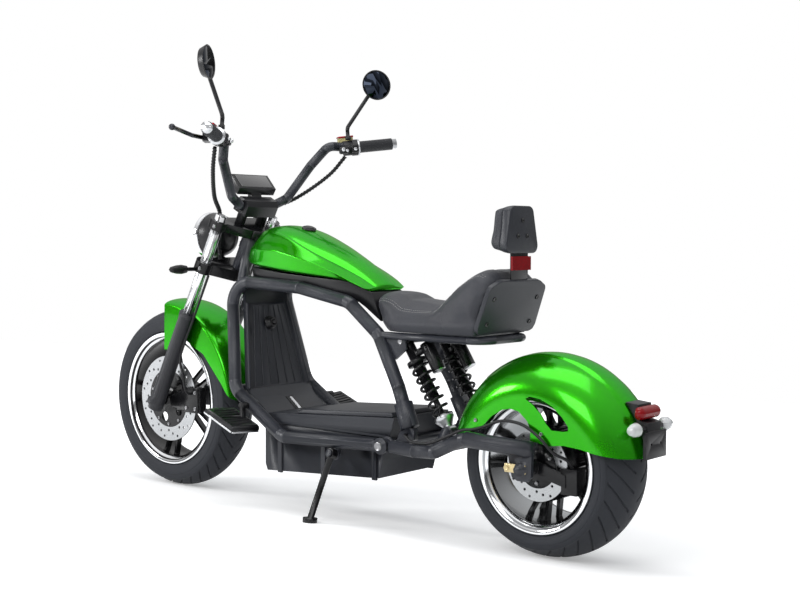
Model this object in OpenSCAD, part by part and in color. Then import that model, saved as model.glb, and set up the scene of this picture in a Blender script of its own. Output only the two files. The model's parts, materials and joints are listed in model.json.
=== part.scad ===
// Electric chopper scooter with a low step-through frame, drawn upright and then parked on its side stand.
// Upright frame: X forward from the rear axle, Y to the rider's left, Z up from the ground. Millimetres.

/* [Stance] */
// Lean to the left on the side stand
lean = 7; // [5:0.5:9]
// Distance between the axles
wheelbase = 1430; // [1400:5:1460]

/* [Rear wheel] */
// Outer radius of the rear tyre
rear_r = 236; // [230:1:240]
// Half the width of the rear tyre
rear_half = 103; // [92:1:104]
// Radius of the rear tyre's crown
rear_crown = 155; // [140:1:170]
// Height of the rear tyre's side above the rim's lip
rear_wall = 68; // [64:1:72]
// Radius of the rear brake disc
rear_disc_r = 88; // [80:1:92]

/* [Front wheel] */
// Outer radius of the front tyre
front_r = 282; // [276:1:286]
// Half the width of the front tyre
front_half = 68; // [60:1:70]
// Radius of the front tyre's crown
front_crown = 90; // [80:1:100]
// Height of the front tyre's side above the rim's lip
front_wall = 71; // [68:1:75]
// Radius of the front brake disc
front_disc_r = 135; // [125:1:140]

/* [Fork] */
// Rake of the steering axis
rake = 28; // [25:0.5:30]
// Room between the front tyre and a leg
leg_gap = 12; // [10:0.5:16]
// Radius of the lower legs
leg_r = 24; // [21:0.5:25]
// Radius of the chromed tubes
stanchion_r = 17; // [15:0.5:19]
// Height of the lower legs above the axle, along the leg
leg_len = 316; // [290:2:330]
// How far the steering axis lies behind the legs
fork_offset = 50; // [46:1:54]
// Height of the lower clamp above the axle, along the leg
fork_low = 482; // [470:1:490]
// Distance from the lower clamp to the upper one
head_len = 143; // [135:1:150]
// Height of the handlebar above the upper clamp
riser = 72; // [60:1:84]

/* [Frame] */
// Radius of the loop tubes
tube_r = 18; // [15:0.5:19]
// Half the width of the loops under the tank
loop_top_y = 100; // [96:1:106]
// Half the width of the loops at the floor
loop_low_y = 148; // [146:1:154]
// Bend radius of the loops
loop_bend = 60; // [40:2:70]
// Distance from the rear tyre to the swingarm's pivot
arm_reach = 204; // [198:1:212]

/* [Floor and battery] */
// Height of the floor
floor_z = 316; // [312:1:322]
// Height of the floor's lowest point, at the foot of the shield
floor_dip = 288; // [284:1:294]
// Thickness of the leg shield
panel_t = 8; // [5:0.5:9]
// Room between the battery box and the loop tubes
box_gap = 14; // [12:0.5:20]
// Wall of the battery box
box_t = 5; // [3:0.5:7]

/* [Seat] */
// Room between the rear fender's crown and the seat rails
rail_gap = 17; // [14:1:24]
// Radius of the seat rails
rail_r = 10; // [8:0.5:12]
// Half the width of the seat
seat_half = 122; // [112:1:128]

/* [Handlebar] */
// Radius of the handlebar tube
bar_r = 14; // [11:0.5:15]
// Radius of the grips
grip_r = 18; // [17:0.5:20]
// Radius of the mirrors
mirror_r = 47; // [42:1:52]

/* [Fenders] */
// Room between the rear tyre and its fender
rear_fender_gap = 42; // [38:1:46]
// Room between the rear tyre's side and its fender
fender_side = 20; // [18:0.5:22]
// Room between the front tyre and its fender
front_fender_gap = 36; // [32:1:40]
// Thickness of the fenders
sheet = 3; // [2:0.5:4]

/* [Fits] */
// Running clearance round an axle or pin
run_fit = 0.05; // [0.02:0.01:0.1]
// Seam between pieces that are fixed together
seam = 0.3; // [0.2:0.05:0.4]

/* [Hidden] */
$fn = 48;

charcoal = [0.22, 0.23, 0.25];
black = [0.05, 0.05, 0.06];
green = [0.10, 0.62, 0.08];
chrome = [0.80, 0.81, 0.83];
silver = [0.68, 0.69, 0.71];
leather = [0.33, 0.33, 0.34];
rubber = [0.06, 0.06, 0.07];
red = [0.70, 0.05, 0.05];

// Shared places
rear_axle = [0, 0, rear_r];
front_axle = [wheelbase, 0, front_r];
steer_up = [-sin(rake), 0, cos(rake)];
fork_fwd = [cos(rake), 0, sin(rake)];
axle_r = 9;
rear_axle_r = 10;
leg_y = front_half + leg_gap + leg_r;
fork_top = fork_low + head_len;
bar_up = fork_top + riser;
bar_fwd = -20;
plate_low = 34;
plate_top = 28;
stem_r = 15;
head_r = 29;
head_x = wheelbase - front_r;
pivot = [rear_r + arm_reach, loop_low_y, 247];
rear_arch = [4, 0, rear_r - 8];
rear_fender_r = rear_r + rear_fender_gap;
rear_fender_half = rear_half + fender_side;
rail_z = rear_arch[2] + rear_fender_r + rail_gap + rail_r;
bend_lap = 0.8;
bend_step = 0.12;

function unit(v) = v / norm(v);
function side_of(v) = unit(cross(v, abs(v[2]) < 0.9 * norm(v) ? [0, 0, 1] : [0, 1, 0]));
function flip(p) = [for (q = p) [q[0], -q[1], q[2]]];
function rev(p) = [for (i = [len(p) - 1 : -1 : 0]) p[i]];
function lerp(a, b, t) = a + (b - a) * t;
// An outline's right half after its left half, from the middle round and back to the middle
function both_sides(half) = concat(half, [for (i = [len(half) - 1 : -1 : 0]) [half[i][0], -half[i][1]]]);
// A point given in the fork's own frame: forward of the legs, left, up along the legs
function fork_pt(f, y, s) = front_axle + f * fork_fwd + [0, y, 0] + s * steer_up;

module frame_at(o, x, z) {
    y = cross(z, x);
    multmatrix([[x[0], y[0], z[0], o[0]], [x[1], y[1], z[1], o[1]], [x[2], y[2], z[2], o[2]], [0, 0, 0, 1]])
        children();
}
module in_fork() frame_at(front_axle, fork_fwd, steer_up) children();
module along(a, d) frame_at(a, side_of(d), unit(d)) children();
module rod(a, b, r) along(a, b - a) cylinder(h = norm(b - a), r = r);
module tie(p, r) rod([p[0], -p[1], p[2]], p, r);
module pair() { children(); mirror([0, 1, 0]) children(); }
module slab(y0, y1) translate([0, y1, 0]) rotate([90, 0, 0]) linear_extrude(y1 - y0) children();
module lengthwise() rotate([90, 0, 90]) linear_extrude(wheelbase) children();
module about_y(c) translate(c) rotate([-90, 0, 0]) children();
module bent_tube(p, r, bend) {
    n = len(p);
    dir = [for (i = [0 : n - 2]) unit(p[i + 1] - p[i])];
    turn = [for (i = [0 : n - 1]) i == 0 || i == n - 1 ? 0 : acos(min(1, dir[i - 1] * dir[i]))];
    reach = [for (i = [0 : n - 1]) bend * tan(turn[i] / 2)];
    // Each straight runs a little way into its bends, which are a hair fatter
    for (i = [0 : n - 2]) rod(p[i] + dir[i] * (reach[i] - (i > 0 ? bend_lap : 0)),
        p[i + 1] - dir[i] * (reach[i + 1] - (i < n - 2 ? bend_lap : 0)), r);
    for (i = [1 : n - 2]) {
        axis = unit(cross(dir[i - 1], dir[i]));
        inward = cross(axis, dir[i - 1]);
        frame_at(p[i] - dir[i - 1] * reach[i] + inward * bend, -inward, axis)
            rotate_extrude(angle = turn[i]) translate([bend, 0]) circle(r + bend_step);
    }
}
// A closed skin through rings that all have the same number of points
module loft(rings) {
    m = len(rings[0]);
    n = len(rings);
    polyhedron(points = [for (r = rings) each r],
        faces = concat([[for (j = [0 : m - 1]) j]], [[for (j = [m - 1 : -1 : 0]) (n - 1) * m + j]],
            [for (i = [0 : n - 2]) for (j = [0 : m - 1]) each
                [[i * m + (j + 1) % m, i * m + j, (i + 1) * m + j],
                 [i * m + (j + 1) % m, (i + 1) * m + j, (i + 1) * m + (j + 1) % m]]]));
}
// A wire swept along a helix
module coil(r, wire, h, turns, sides = 8, steps = 16) {
    n = turns * steps;
    loft([for (i = [0 : n]) let (a = 360 * i / steps, z = wire + (h - 2 * wire) * i / n)
        [for (j = [0 : sides - 1]) let (b = -360 * j / sides, q = r + wire * cos(b))
            [q * cos(a), q * sin(a), z + wire * sin(b)]]]);
}
// A smooth curve through a hose's points, and the hose swept along it
function smooth(p, k) = concat([for (i = [0 : len(p) - 2]) for (j = [0 : k - 1])
    let (a = p[max(0, i - 1)], b = p[i], c = p[i + 1], d = p[min(len(p) - 1, i + 2)], t = j / k)
    0.5 * (2 * b + (c - a) * t + (2 * a - 5 * b + 4 * c - d) * t * t + (3 * b - a - 3 * c + d) * t * t * t)],
    [p[len(p) - 1]]);
module hose(p, r, k = 2, sides = 8) {
    q = smooth(p, k);
    n = len(q);
    dir = [for (i = [0 : n - 1]) unit(q[min(n - 1, i + 1)] - q[max(0, i - 1)])];
    side = [for (i = 0, u = side_of(dir[0]); i < n; i = i + 1,
        u = i < n ? unit(u - (u * dir[i]) * dir[i]) : u) u];
    loft([for (i = [0 : n - 1]) let (v = cross(dir[i], side[i]))
        [for (j = [0 : sides - 1]) q[i] + r * (side[i] * cos(360 * j / sides) + v * sin(360 * j / sides))]]);
}
// An arched section: a flat side up to the shoulder, then a quarter ellipse to the crown
function arch_section(r, half, h, low, n = 12) = concat([[low, -half]],
    [for (i = [0 : 2 * n]) let (a = -90 + 90 * i / n) [r - h + h * cos(a), half * sin(a)]], [[low, half]]);
function shell_section(r, half, h, low) = concat(arch_section(r, half, h, low),
    rev(arch_section(r - sheet, half - sheet, h - sheet, low)));
// A section turned about a sideways axis, angles from straight ahead up and over
module turned(c, a0, a1, pts) translate(c) rotate([90, 0, 0]) rotate([0, 0, a0])
    rotate_extrude(angle = a1 - a0, $fn = 96) polygon(pts);

// Frame loops, from the lower rear end forward, up the shield, back under the tank and down the seat posts
post_x = pivot[0] + 57;
crown_x = head_x - 67;
crown_z = rail_z + 134;
loop = [[pivot[0] + 26, loop_low_y, 246], [head_x - 328, loop_low_y, 231], [head_x - 130, loop_low_y, 352],
    [crown_x, loop_top_y, crown_z], [lerp(post_x, crown_x, 0.517), loop_top_y, rail_z + 119],
    [lerp(post_x, crown_x, 0.19), loop_top_y, rail_z + 84], [post_x, loop_top_y + 2, rail_z],
    [pivot[0] - 22, loop_top_y + 14, 400], [pivot[0] - 68, loop_low_y - 26, 300]];
cross_r = 12;
stand_pivot = [lerp(loop[0][0], loop[1][0], 0.41), loop_low_y + 2, 203];
stand_axis = unit([0, 0.953, 0.303]);
stand_dir = unit([0.15, 0.30, -0.94]);
stand_boss = 8;
stand_eye_w = 20;
pin_r = 6;
pivot_pin_r = 8;
ear_r = 22;
ear_gap = 11;
ear_t = 6;
floor_low = floor_dip - 26;
shock_y = 75;
shock_top = [pivot[0] - 18, shock_y, rail_z - 14];
shock_low = [pivot[0] - 165, shock_y, 294];
eye_w = 24;
rail_back = pivot[0] - 290;

module head_tube(r, extra) in_fork() translate([-fork_offset, 0, fork_low + plate_low / 2 + 1 - extra])
    cylinder(h = head_len - (plate_low + plate_top) / 2 - 2 + 2 * extra, r = r);
module pivot_ear(y0, y1) {
    about_y([pivot[0], loop_low_y + y0, pivot[2]]) cylinder(h = y1 - y0, r = ear_r);
    slab(loop_low_y + y0, loop_low_y + y1) translate([pivot[0], pivot[2]])
        polygon([[0, -ear_r + 4], [0, ear_r - 4], [42, 9], [42, -11]]);
}
module frame_tubes() color(charcoal) difference() {
    neck = fork_pt(-fork_offset, 0, fork_low + head_len / 2);
    union() {
        pair() {
            bent_tube(loop, tube_r, loop_bend);
            // Neck struts from the head tube to the loop's top corner
            rod(neck, loop[3] - [44, 0, 2], tube_r - 3);
            // Sleeve on the foot of the seat post, and the plate that ties it to the lower tube
            foot = loop[8] + 3 * unit(loop[8] - loop[7]);
            rod(lerp(loop[7], loop[8], 0.42), foot, tube_r + 7);
            slab(loop_low_y - 36, loop_low_y - tube_r) translate([pivot[0], 0]) polygon([[-88, pivot[2] + 21],
                [-88, pivot[2] + 49], [-48, pivot[2] + 53], [-28, floor_low - 1], [30, floor_low - 1],
                [30, pivot[2] - 15], [-20, pivot[2] - 21]]);
            // Ears and bolt that carry the swingarm
            pivot_ear(-ear_gap - ear_t - 3, -ear_gap);
            pivot_ear(ear_gap, ear_gap + ear_t);
            rod(pivot - [0, ear_gap + ear_t, 0], pivot + [0, ear_gap + ear_t, 0], pivot_pin_r);
            rod(pivot + [0, ear_gap + ear_t - 1, 0], pivot + [0, ear_gap + ear_t + 5, 0], 2 * pivot_pin_r);
            // Gusset that carries the shock's upper eye
            slab(loop_top_y - 6, loop_top_y + 2) translate([pivot[0], rail_z])
                polygon([[65, 12], [-32, 0], [-38, -33], [0, -63], [15, -63]]);
        }
        bent_tube([[post_x - 13, loop_top_y + 1, rail_z], [rail_back, loop_top_y + 1, rail_z],
            [rail_back, -loop_top_y - 1, rail_z], [post_x - 13, -loop_top_y - 1, rail_z]], rail_r, 50);
        head_tube(head_r, 0);
        tie(lerp(loop[3], loop[4], 0.64), cross_r);
        tie(lerp(loop[4], loop[5], 0.78), cross_r);
        tie(loop[2] - [4, 0, 0], cross_r);
        tie([pivot[0], loop_low_y - tube_r - 1, pivot[2]], cross_r);
        tie([shock_top[0], loop_top_y, shock_top[2]], pin_r);
        // Stand lug and its pin
        rod(lerp(loop[0], loop[1], 0.41) - [0, 6, 0], stand_pivot - [0, 4, 0], 9);
        along(stand_pivot, stand_axis) {
            cylinder(h = stand_boss, r = 14);
            cylinder(h = stand_boss + stand_eye_w + 4, r = pin_r);
            translate([0, 0, stand_boss + stand_eye_w + 2 * seam]) cylinder(h = 4, r = 10);
        }
    }
    head_tube(stem_r + run_fit, 1);
}

// Shield and floor in one moulding, the floor lowest at the foot of the shield
loop_room = tube_r + 0.85;
shield = [[head_x - 98, crown_z - 7],[head_x - 112, crown_z - 67], [head_x - 162, 352], [head_x - 180, 330],
    [head_x - 236, floor_dip]];
floor_back = pivot[0] - 8;
tread_half = loop_low_y - 30;
groove_r = 3;
groove_step = 33;
bead_r = 6;
function loop_y(z) = lerp(loop_low_y, loop_top_y, max(0, z - loop[2][2]) / (crown_z - loop[2][2])) - loop_room;
function floor_at(x) = lerp(floor_z, floor_dip, (x - floor_back) / (shield[4][0] - floor_back));
function on_shield(y, t) = [lerp(shield[2][0], shield[1][0], t), y, lerp(shield[2][1], shield[1][1], t)];
module floor_panel() color(charcoal) difference() {
    union() {
        intersection() {
            slab(-200, 200) polygon(concat(shield, [[floor_back, floor_z], [floor_back + 12, floor_low],
                [shield[4][0] - 16, floor_low], [shield[4][0] + 6, floor_dip - panel_t],
                [shield[3][0] + 6, shield[3][1] - panel_t], [shield[2][0] + panel_t, shield[2][1] - 3],
                [shield[1][0] + panel_t, shield[1][1] - 1], [shield[0][0] + panel_t, shield[0][1]]]));
            lengthwise() polygon(concat([for (v = floor_sides) v], [for (v = rev(floor_sides)) [-v[0], v[1]]]));
        }
        // Rolled edges of the shield
        pair() rod(on_shield(loop_y(shield[2][1]) - bead_r - 2, 0), on_shield(loop_y(shield[1][1]) - bead_r - 2, 1), bead_r);
    }
    // Grooves that fan out down the shield
    for (i = [-3 : 3]) rod(on_shield(groove_step * i, 0.02), on_shield(0.6 * groove_step * i, 0.96), groove_r);
}
floor_sides = [[loop_y(0) - 8, floor_low - 60], [loop_y(0) - 8, floor_low + 6], [tread_half, floor_dip],
    [tread_half - 2, floor_z], [loop_y(0) - 4, floor_z + 20], [loop_y(0), loop[2][2]],
    [loop_y(crown_z), crown_z]];

// Battery box hung between the lower tubes
box_half = loop_low_y - tube_r - box_gap;
box_front = head_x - 223;
box_back = pivot[0] + 32;
box_top = floor_low - seam;
function box_floor(x) = lerp(149, 121, (x - box_back) / (box_front - box_back));
function box_outline(t) = [[box_back + t, 200], [box_back + 14 + t, 149 + t], [box_front - 8 - t, 121 + t],
    [box_front - t, 140], [box_front - t, box_top - t], [box_back + t, box_top - t]];
module battery_box() color(charcoal) difference() {
    union() {
        slab(-box_half, box_half) polygon(box_outline(0));
        // Hanger lugs on the loop tubes
        for (t = [0.15, 0.48, 0.77]) pair() translate([lerp(box_back, box_front, t) - 15, 0, 232])
            cube([30, loop_low_y - tube_r - 0.8, 14]);
        // Ribs that end in small feet
        for (t = [0.06, 0.48, 0.86]) let (x = lerp(box_back, box_front, t)) pair()
            translate([x - 8, box_half - 1, box_floor(x) - 4]) cube([16, 6, 108]);
    }
    slab(-box_half + box_t, box_half - box_t) polygon(box_outline(box_t));
}
module battery() color(black)
    slab(-box_half + box_t + 1, box_half - box_t - 1) polygon(box_outline(box_t + seam));
cover_front = head_x - 342;
cover_back = pivot[0] + 6;
cover_half = tread_half - 10;
cover_h = 13;
module battery_cover() color(charcoal) intersection() {
    slab(-150, 150) polygon([for (v = [[cover_back, seam], [cover_back + 6, cover_h], [cover_front - 26, cover_h],
        [cover_front - 6, cover_h * 0.5], [cover_front, seam]]) [v[0], floor_at(v[0]) + v[1]]]);
    lengthwise() polygon([[-cover_half, 250], [-cover_half, floor_at(cover_front)],
        [-cover_half + 8, floor_z + 29], [cover_half - 8, floor_z + 29], [cover_half, floor_at(cover_front)],
        [cover_half, 250]]);
}

// Tank: sections from the leaned nose back to the thin tail, heights above the seat rails
tank_nose = head_x - 88;
tank_tail = pivot[0] + 116;
nose_lean = 70;
top_line = [[0, 293], [0.12, 298], [0.21, 296], [0.33, 283], [0.44, 265], [0.56, 245], [0.67, 224], [0.79, 198],
    [0.91, 165], [1, 132]];
crease_y = [[0, 50], [0.09, 67], [0.21, 86], [0.33, 94], [0.44, 96], [0.56, 92], [0.67, 82], [0.79, 71], [0.91, 60],
    [1, 49]];
crease_z = [[0, 281], [0.09, 285], [0.21, 278], [0.33, 263], [0.44, 242], [0.56, 219], [0.67, 198], [0.79, 175],
    [0.91, 149], [1, 122]];
widest_y = [[0, 70], [0.06, 92], [0.16, 110], [0.27, 119], [0.38, 122], [0.48, 122], [0.59, 119], [0.7, 113],
    [0.8, 106], [0.91, 97], [1, 80]];
side_line = [[0, 224], [0.18, 223], [0.3, 222], [0.45, 208], [0.64, 188], [0.8, 161], [0.87, 147], [1, 117]];
low_line = [[0, 191], [0.07, 176], [0.34, 160], [0.59, 150], [0.82, 143], [0.89, 135], [1, 111]];
tank_at = [0, 0.02, 0.05, 0.09, 0.13, 0.18, 0.24, 0.3, 0.36, 0.42, 0.48, 0.54, 0.6, 0.66, 0.72, 0.78, 0.83, 0.88,
    0.92, 0.96, 1];
function tank_x(u) = lerp(tank_nose, tank_tail, u);
function tank_low(u) = rail_z + lookup(u, low_line);
function tank_ring(u) = let (t = rail_z + lookup(u, top_line), b = tank_low(u), m = rail_z + lookup(u, side_line),
    c = lookup(u, crease_y), k = rail_z + lookup(u, crease_z), w = lookup(u, widest_y),
    half = [[t, 0], [lerp(t, k, 0.16), c * 0.4], [lerp(t, k, 0.5), c * 0.75], [k + 1.6, c - 9], [k - 1.4, c - 5],
        [k, c], [lerp(k, m, 0.42), lerp(c, w, 0.45)], [lerp(k, m, 0.8), lerp(c, w, 0.85)], [lerp(k, m, 0.94), w],
        [m, w], [lerp(m, b, 0.25), w - 4], [lerp(m, b, 0.7), w - 9], [b, w - 12]])
    [for (p = both_sides(half)) if (p[0] < t || p[1] >= 0)
        [lerp(tank_x(u), lerp(tank_nose - nose_lean, tank_tail + 4, u), (p[0] - b) / (t - b)), p[1], p[0]]];
module tank() color(green) loft([for (u = tank_at) tank_ring(u)]);
// Trim that fills the gap between the tank and the upper tubes
trim_from = 3;
function loop_top(x) = lookup(x, [for (i = [6, 5, 4, 3]) [loop[i][0], loop[i][2]]])
    + tube_r * (x < loop[5][0] ? 1.27 : 1.04) + 0.4;
function trim_ring(x, end, w, top) = [[x, w, top], [x - end, w - 4, loop_top(x - end)], [x - end, 4 - w, loop_top(x - end)],
    [x, -w, top]];
module tank_trim() color(black) loft([for (i = [trim_from : len(tank_at) - 1]) let (u = tank_at[i])
    trim_ring(tank_x(u), i == len(tank_at) - 1 ? 28 : 0, min(lookup(u, widest_y) - 16, loop_top_y - 6), tank_low(u) - seam)]);

// Seat: leaned sections as [bottom x, top x, height, half width], from the nose back, x from the pivot
seat_low = rail_z + rail_r + seam;
seat_sections = [[44, 108, 91, 78], [40, 96, 99, 88], [30, 70, 103, 98], [15, 40, 100, 106], [0, 17, 95, 112],
    [-16, -8, 83, 116], [-42, -42, 80, 118], [-87, -87, 86, 120], [-128, -131, 102, 122], [-150, -157, 131, 122],
    [-178, -196, 161, 122], [-205, -238, 174, 122], [-235, -275, 178, 121], [-254, -302, 169, 120],
    [-265, -318, 154, 119], [-269, -323, 145, 118]];
function seat_ring(s) = let (h = s[2], w = s[3] * seat_half / 122,
    half = [[h, 0], [h - 2, w * 0.45], [h - 8, w * 0.7], [h - 17, w * 0.86], [h - 29, w * 0.96], [h - 44, w],
        [22, w * 1.03], [0, w * 0.93]])
    [for (p = both_sides(half)) if (p[0] < h || p[1] >= 0)
        [pivot[0] + lerp(s[0], s[1], p[0] / h), p[1], seat_low + p[0]]];
module seat() color(leather) loft([for (s = seat_sections) seat_ring(s)]);
// Behind the leaned rear face: the moulded panel, and the backrest's bracket let into its front
back_lean = 54 / 145;
panel_h = 145;
panel_depth = 12;
bracket_t = 5;
bracket_half = 36;
bracket_low = 57;
bracket_bend = 147;
bracket_high = 287;
function back_x(h) = pivot[0] - 269 - back_lean * h - seam;
function behind(h0, h1, d0, d1) = [[back_x(h0) - d0, seat_low + h0], [back_x(h1) - d0, seat_low + h1],
    [back_x(h1) - d1, seat_low + h1], [back_x(h0) - d1, seat_low + h0]];
module seat_panel() color(charcoal) difference() {
    intersection() {
        slab(-140, 140) polygon(behind(9, panel_h, 0, panel_depth));
        lengthwise() translate([0, seat_low]) polygon([[-112, 9], [-126, 23], [-119, 120], [-90, 141], [-60, panel_h],
            [60, panel_h], [90, 141], [119, 120], [126, 23], [112, 9]]);
    }
    slab(-bracket_half - seam, bracket_half + seam)
        polygon(behind(bracket_low - seam, panel_h + 10, -1, bracket_t + seam));
    for (h = [36, 100], s = [1, -1]) translate([back_x(h) - panel_depth - 3, s * 93, seat_low + h])
        rotate([0, 90, 0]) cylinder(h = 6, r = 6);
}
module backrest_bracket() color(black) slab(-bracket_half, bracket_half) polygon([
    [back_x(bracket_low), seat_low + bracket_low], [back_x(bracket_bend), seat_low + bracket_bend],
    [back_x(bracket_bend), seat_low + bracket_high], [back_x(bracket_bend) - bracket_t, seat_low + bracket_high],
    [back_x(bracket_bend) - bracket_t, seat_low + bracket_bend], [back_x(bracket_low) - bracket_t, seat_low + bracket_low]]);
pad_low = 230;
pad_high = 310;
module backrest() color(leather) difference() {
    hull() for (s = [1, -1]) translate([back_x(bracket_bend) - bracket_t - 8, 0, seat_low]) {
        translate([0, s * 49, pad_low]) rotate([0, 90, 0]) cylinder(h = 6, r = 20, $fn = 24);
        translate([0, s * 31, pad_high]) rotate([0, 90, 0]) cylinder(h = 6, r = 20, $fn = 24);
        translate([43, s * 50, pad_low + 3]) sphere(16, $fn = 24);
        translate([21, s * 32, pad_high]) sphere(16, $fn = 24);
    }
    slab(-bracket_half - seam, bracket_half + seam) translate([back_x(bracket_bend), seat_low])
        polygon([[seam, 100], [seam, bracket_high + seam], [-bracket_t - seam, bracket_high + seam], [-bracket_t - seam, 100]]);
}

// Swingarm with its axle plates, shock ears and fender stays
arm_r = 17;
arm_y = rear_fender_half + seam + arm_r + 3;
arm = [[pivot[0] - 28, loop_low_y, pivot[2]], [pivot[0] - 102, loop_low_y - 2, 243], [pivot[0] - 166, arm_y, 246],
    [pivot[0] - 262, arm_y, rear_r + 55], [-26, arm_y, rear_r + 49]];
brace_x = pivot[0] - 134;
stay_out = rear_fender_half - sheet - seam;
module fender_stay(x0, x1, z, top, out) {
    translate([x0, out - 7, z]) cube([x1 - x0, arm_y - arm_r + 2 - out + 7, 10]);
    translate([x0, out - 7, z]) cube([x1 - x0, 7, top - z]);
}
module swingarm() color(charcoal) {
    pair() {
        bent_tube(arm, arm_r, 40);
        rod(arm[3] - [8, 0, 0.3], arm[4] + [6, 0, 0.2], arm_r + 3);
        slab(arm_y - 8, arm_y + 2) translate([0, rear_r])
            polygon([[-28, 50], [46, 52], [30, -22], [14, -30], [-14, -30], [-26, -18]]);
        about_y([0, arm_y + 1, rear_r]) cylinder(h = 14, r = 17, $fn = 6);
        // Eye on the frame's bolt
        difference() {
            union() {
                about_y(pivot - [0, ear_gap - seam, 0]) cylinder(h = 2 * (ear_gap - seam), r = ear_r - 4);
                slab(loop_low_y - ear_gap + seam, loop_low_y + ear_gap - seam) translate([pivot[0], pivot[2]])
                    polygon([[-44, -13], [-44, 12], [0, 13], [0, -13]]);
            }
            about_y(pivot - [0, 40, 0]) cylinder(h = 80, r = pivot_pin_r + run_fit);
        }
        // Ears for the shock's lower eye
        for (y = [shock_y - eye_w / 2 - 6 - seam, shock_y + eye_w / 2 + seam]) slab(y, y + 6) polygon([[brace_x - 16, 240],
            [brace_x + 16, 240], [shock_low[0] + 13, shock_low[2] + 6], [shock_low[0], shock_low[2] + 13],
            [shock_low[0] - 13, shock_low[2] + 4]]);
        rod(shock_low - [0, eye_w / 2 + 4, 0], shock_low + [0, eye_w / 2 + 4, 0], pin_r);
        fender_stay(150, 164, rear_r + 56, rear_r + 100, stay_out - 1.7);
        fender_stay(-24, -12, rear_r + 46, rear_r + 94, stay_out);
    }
    tie([brace_x, arm_y, 245.5], 14);
    tie([0, arm_y + 24, rear_r], rear_axle_r);
}

// Shocks, their springs and reservoirs
shock_dir = unit(shock_top - shock_low);
shock_len = norm(shock_top - shock_low);
collar_r = 27;
spring_low = 44;
spring_high = shock_len - 70;
module eye(p) about_y([p[0], p[1] - eye_w / 2, p[2]]) cylinder(h = eye_w, r = 14);
module shocks() color(black) pair() difference() {
    union() {
        eye(shock_top);
        eye(shock_low);
        along(shock_low, shock_dir) {
            translate([0, 0, 10]) cylinder(h = spring_low - 20, r1 = 11, r2 = collar_r);
            translate([0, 0, spring_low - 10]) cylinder(h = 10, r = collar_r);
            translate([0, 0, spring_low - 1]) cylinder(h = 60, r = 8);
            translate([0, 0, spring_low + 55]) cylinder(h = spring_high - spring_low - 50, r = 15);
            translate([0, 0, spring_high]) cylinder(h = 10, r = collar_r);
            translate([0, 0, spring_high + 9]) cylinder(h = shock_len - spring_high - 17, r = 15);
        }
        // Reservoir beside the body, on a bridge from the head of the shock
        res = shock_low + shock_dir * (spring_high + 30) + [-36, -10, 30];
        rod(res, res - 82 * shock_dir, 18);
        rod(shock_low + shock_dir * (spring_high + 26), res - 12 * shock_dir, 10);
    }
    for (p = [shock_top, shock_low]) about_y([p[0], p[1] - eye_w, p[2]]) cylinder(h = 2 * eye_w, r = pin_r + run_fit);
}
module shock_springs() color(black) pair() along(shock_low + shock_dir * (spring_low + seam), shock_dir)
    coil(22.3, 4, spring_high - spring_low - 2 * seam, 6);

// Rear fender: a deep arch with a raised spine, a cut-away skirt and leaf-shaped slots
arch_h = 100;
skirt_r = 62;
spine = 3.5;
module rear_fender() color(green) difference() {
    union() {
        turned(rear_arch, 15, 172, shell_section(rear_fender_r, rear_fender_half, arch_h, skirt_r));
        turned(rear_arch, 20, 170, [for (p = [[-7, -38], [-1.6, -35], [2.2, -18], [spine, 0], [2.2, 18], [-1.6, 35],
            [-7, 38], [-1, 0]]) [rear_fender_r + p[0], p[1]]]);
    }
    slab(-200, 200) translate([0, rear_r]) {
        polygon([[500, -170], [500, 94], [250, 94], [232, 58], [213, 58], [173, 71], [136, 89], [106, 118], [76, 135],
            [51, 140], [26, 135], [1, 114], [-9, 91], [-8, 67], [-64, 60], [-104, 65], [-151, 61], [-189, 53],
            [-238, 44], [-275, 40], [-500, 40], [-500, -170]]);
        polygon([[7, 168], [-5, 174], [-38, 170], [-70, 156], [-98, 133], [-116, 111], [-116, 101], [-102, 98],
            [-69, 98], [-54, 112], [-38, 134], [-14, 156]]);
    }
}

// Tail: lamp carrier, plate holder, lamp, reflector and indicators
tail_gap = rear_fender_r + spine + seam;
plate_x = rear_arch[0] - rear_fender_r - 2;
lamp_x = plate_x + 26;
plate_z = rear_r + 40;
lamp_z = rear_r + 146;
flash_z = rear_r + 112;
flash_x = plate_x + 11;
flash_y = 50;
function tail_arc(a) = [rear_arch[0] + tail_gap * cos(a), rear_arch[2] + tail_gap * sin(a)];
module plate_bracket() color(black) difference() {
    union() {
        slab(-30, 30) polygon(concat([for (a = [141 : 4 : 169]) tail_arc(a)],
            [[plate_x, plate_z + 2], [plate_x, rear_r + 124], [lamp_x, rear_r + 130], [lamp_x, lamp_z + 20]]));
        translate([plate_x - 5, -48, plate_z]) cube([8, 96, 64]);
        tie([flash_x, flash_y, flash_z], 7);
    }
    // Holes for a number plate
    for (s = [1, -1]) translate([plate_x - 10, s * 22, plate_z + 34]) rotate([0, 90, 0]) cylinder(h = 60, r = 3.3);
    turned(rear_arch, 100, 200, [[100, -60], [tail_gap, -60], [tail_gap, 60], [100, 60]]);
}
module red_lenses() color(red) {
    difference() {
        about_y([lamp_x - 6, 0, lamp_z]) rotate_extrude() polygon(concat([[0, -48]],
            [for (a = [75 : -15 : -75]) [16 * cos(a), -32 * sign(a) - 16 * sin(a)]], [[0, 48]]));
        translate([lamp_x - seam, -80, lamp_z - 40]) cube([60, 160, 80]);
    }
    translate([back_x(bracket_bend) - bracket_t - seam, 0, seat_low + 185]) rotate([0, -90, 0])
        linear_extrude(6) square([35, 80], center = true);
}
module lamp_bulb(r, len) rotate_extrude() polygon([[0, 0], [r * 0.45, 2], [r * 0.8, 8], [r, len * 0.35],
    [r * 0.92, len * 0.6], [r * 0.6, len * 0.88], [0, len]]);
module rear_indicators() color(silver) pair() about_y([flash_x, flash_y + seam, flash_z]) lamp_bulb(17, 46);

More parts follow.
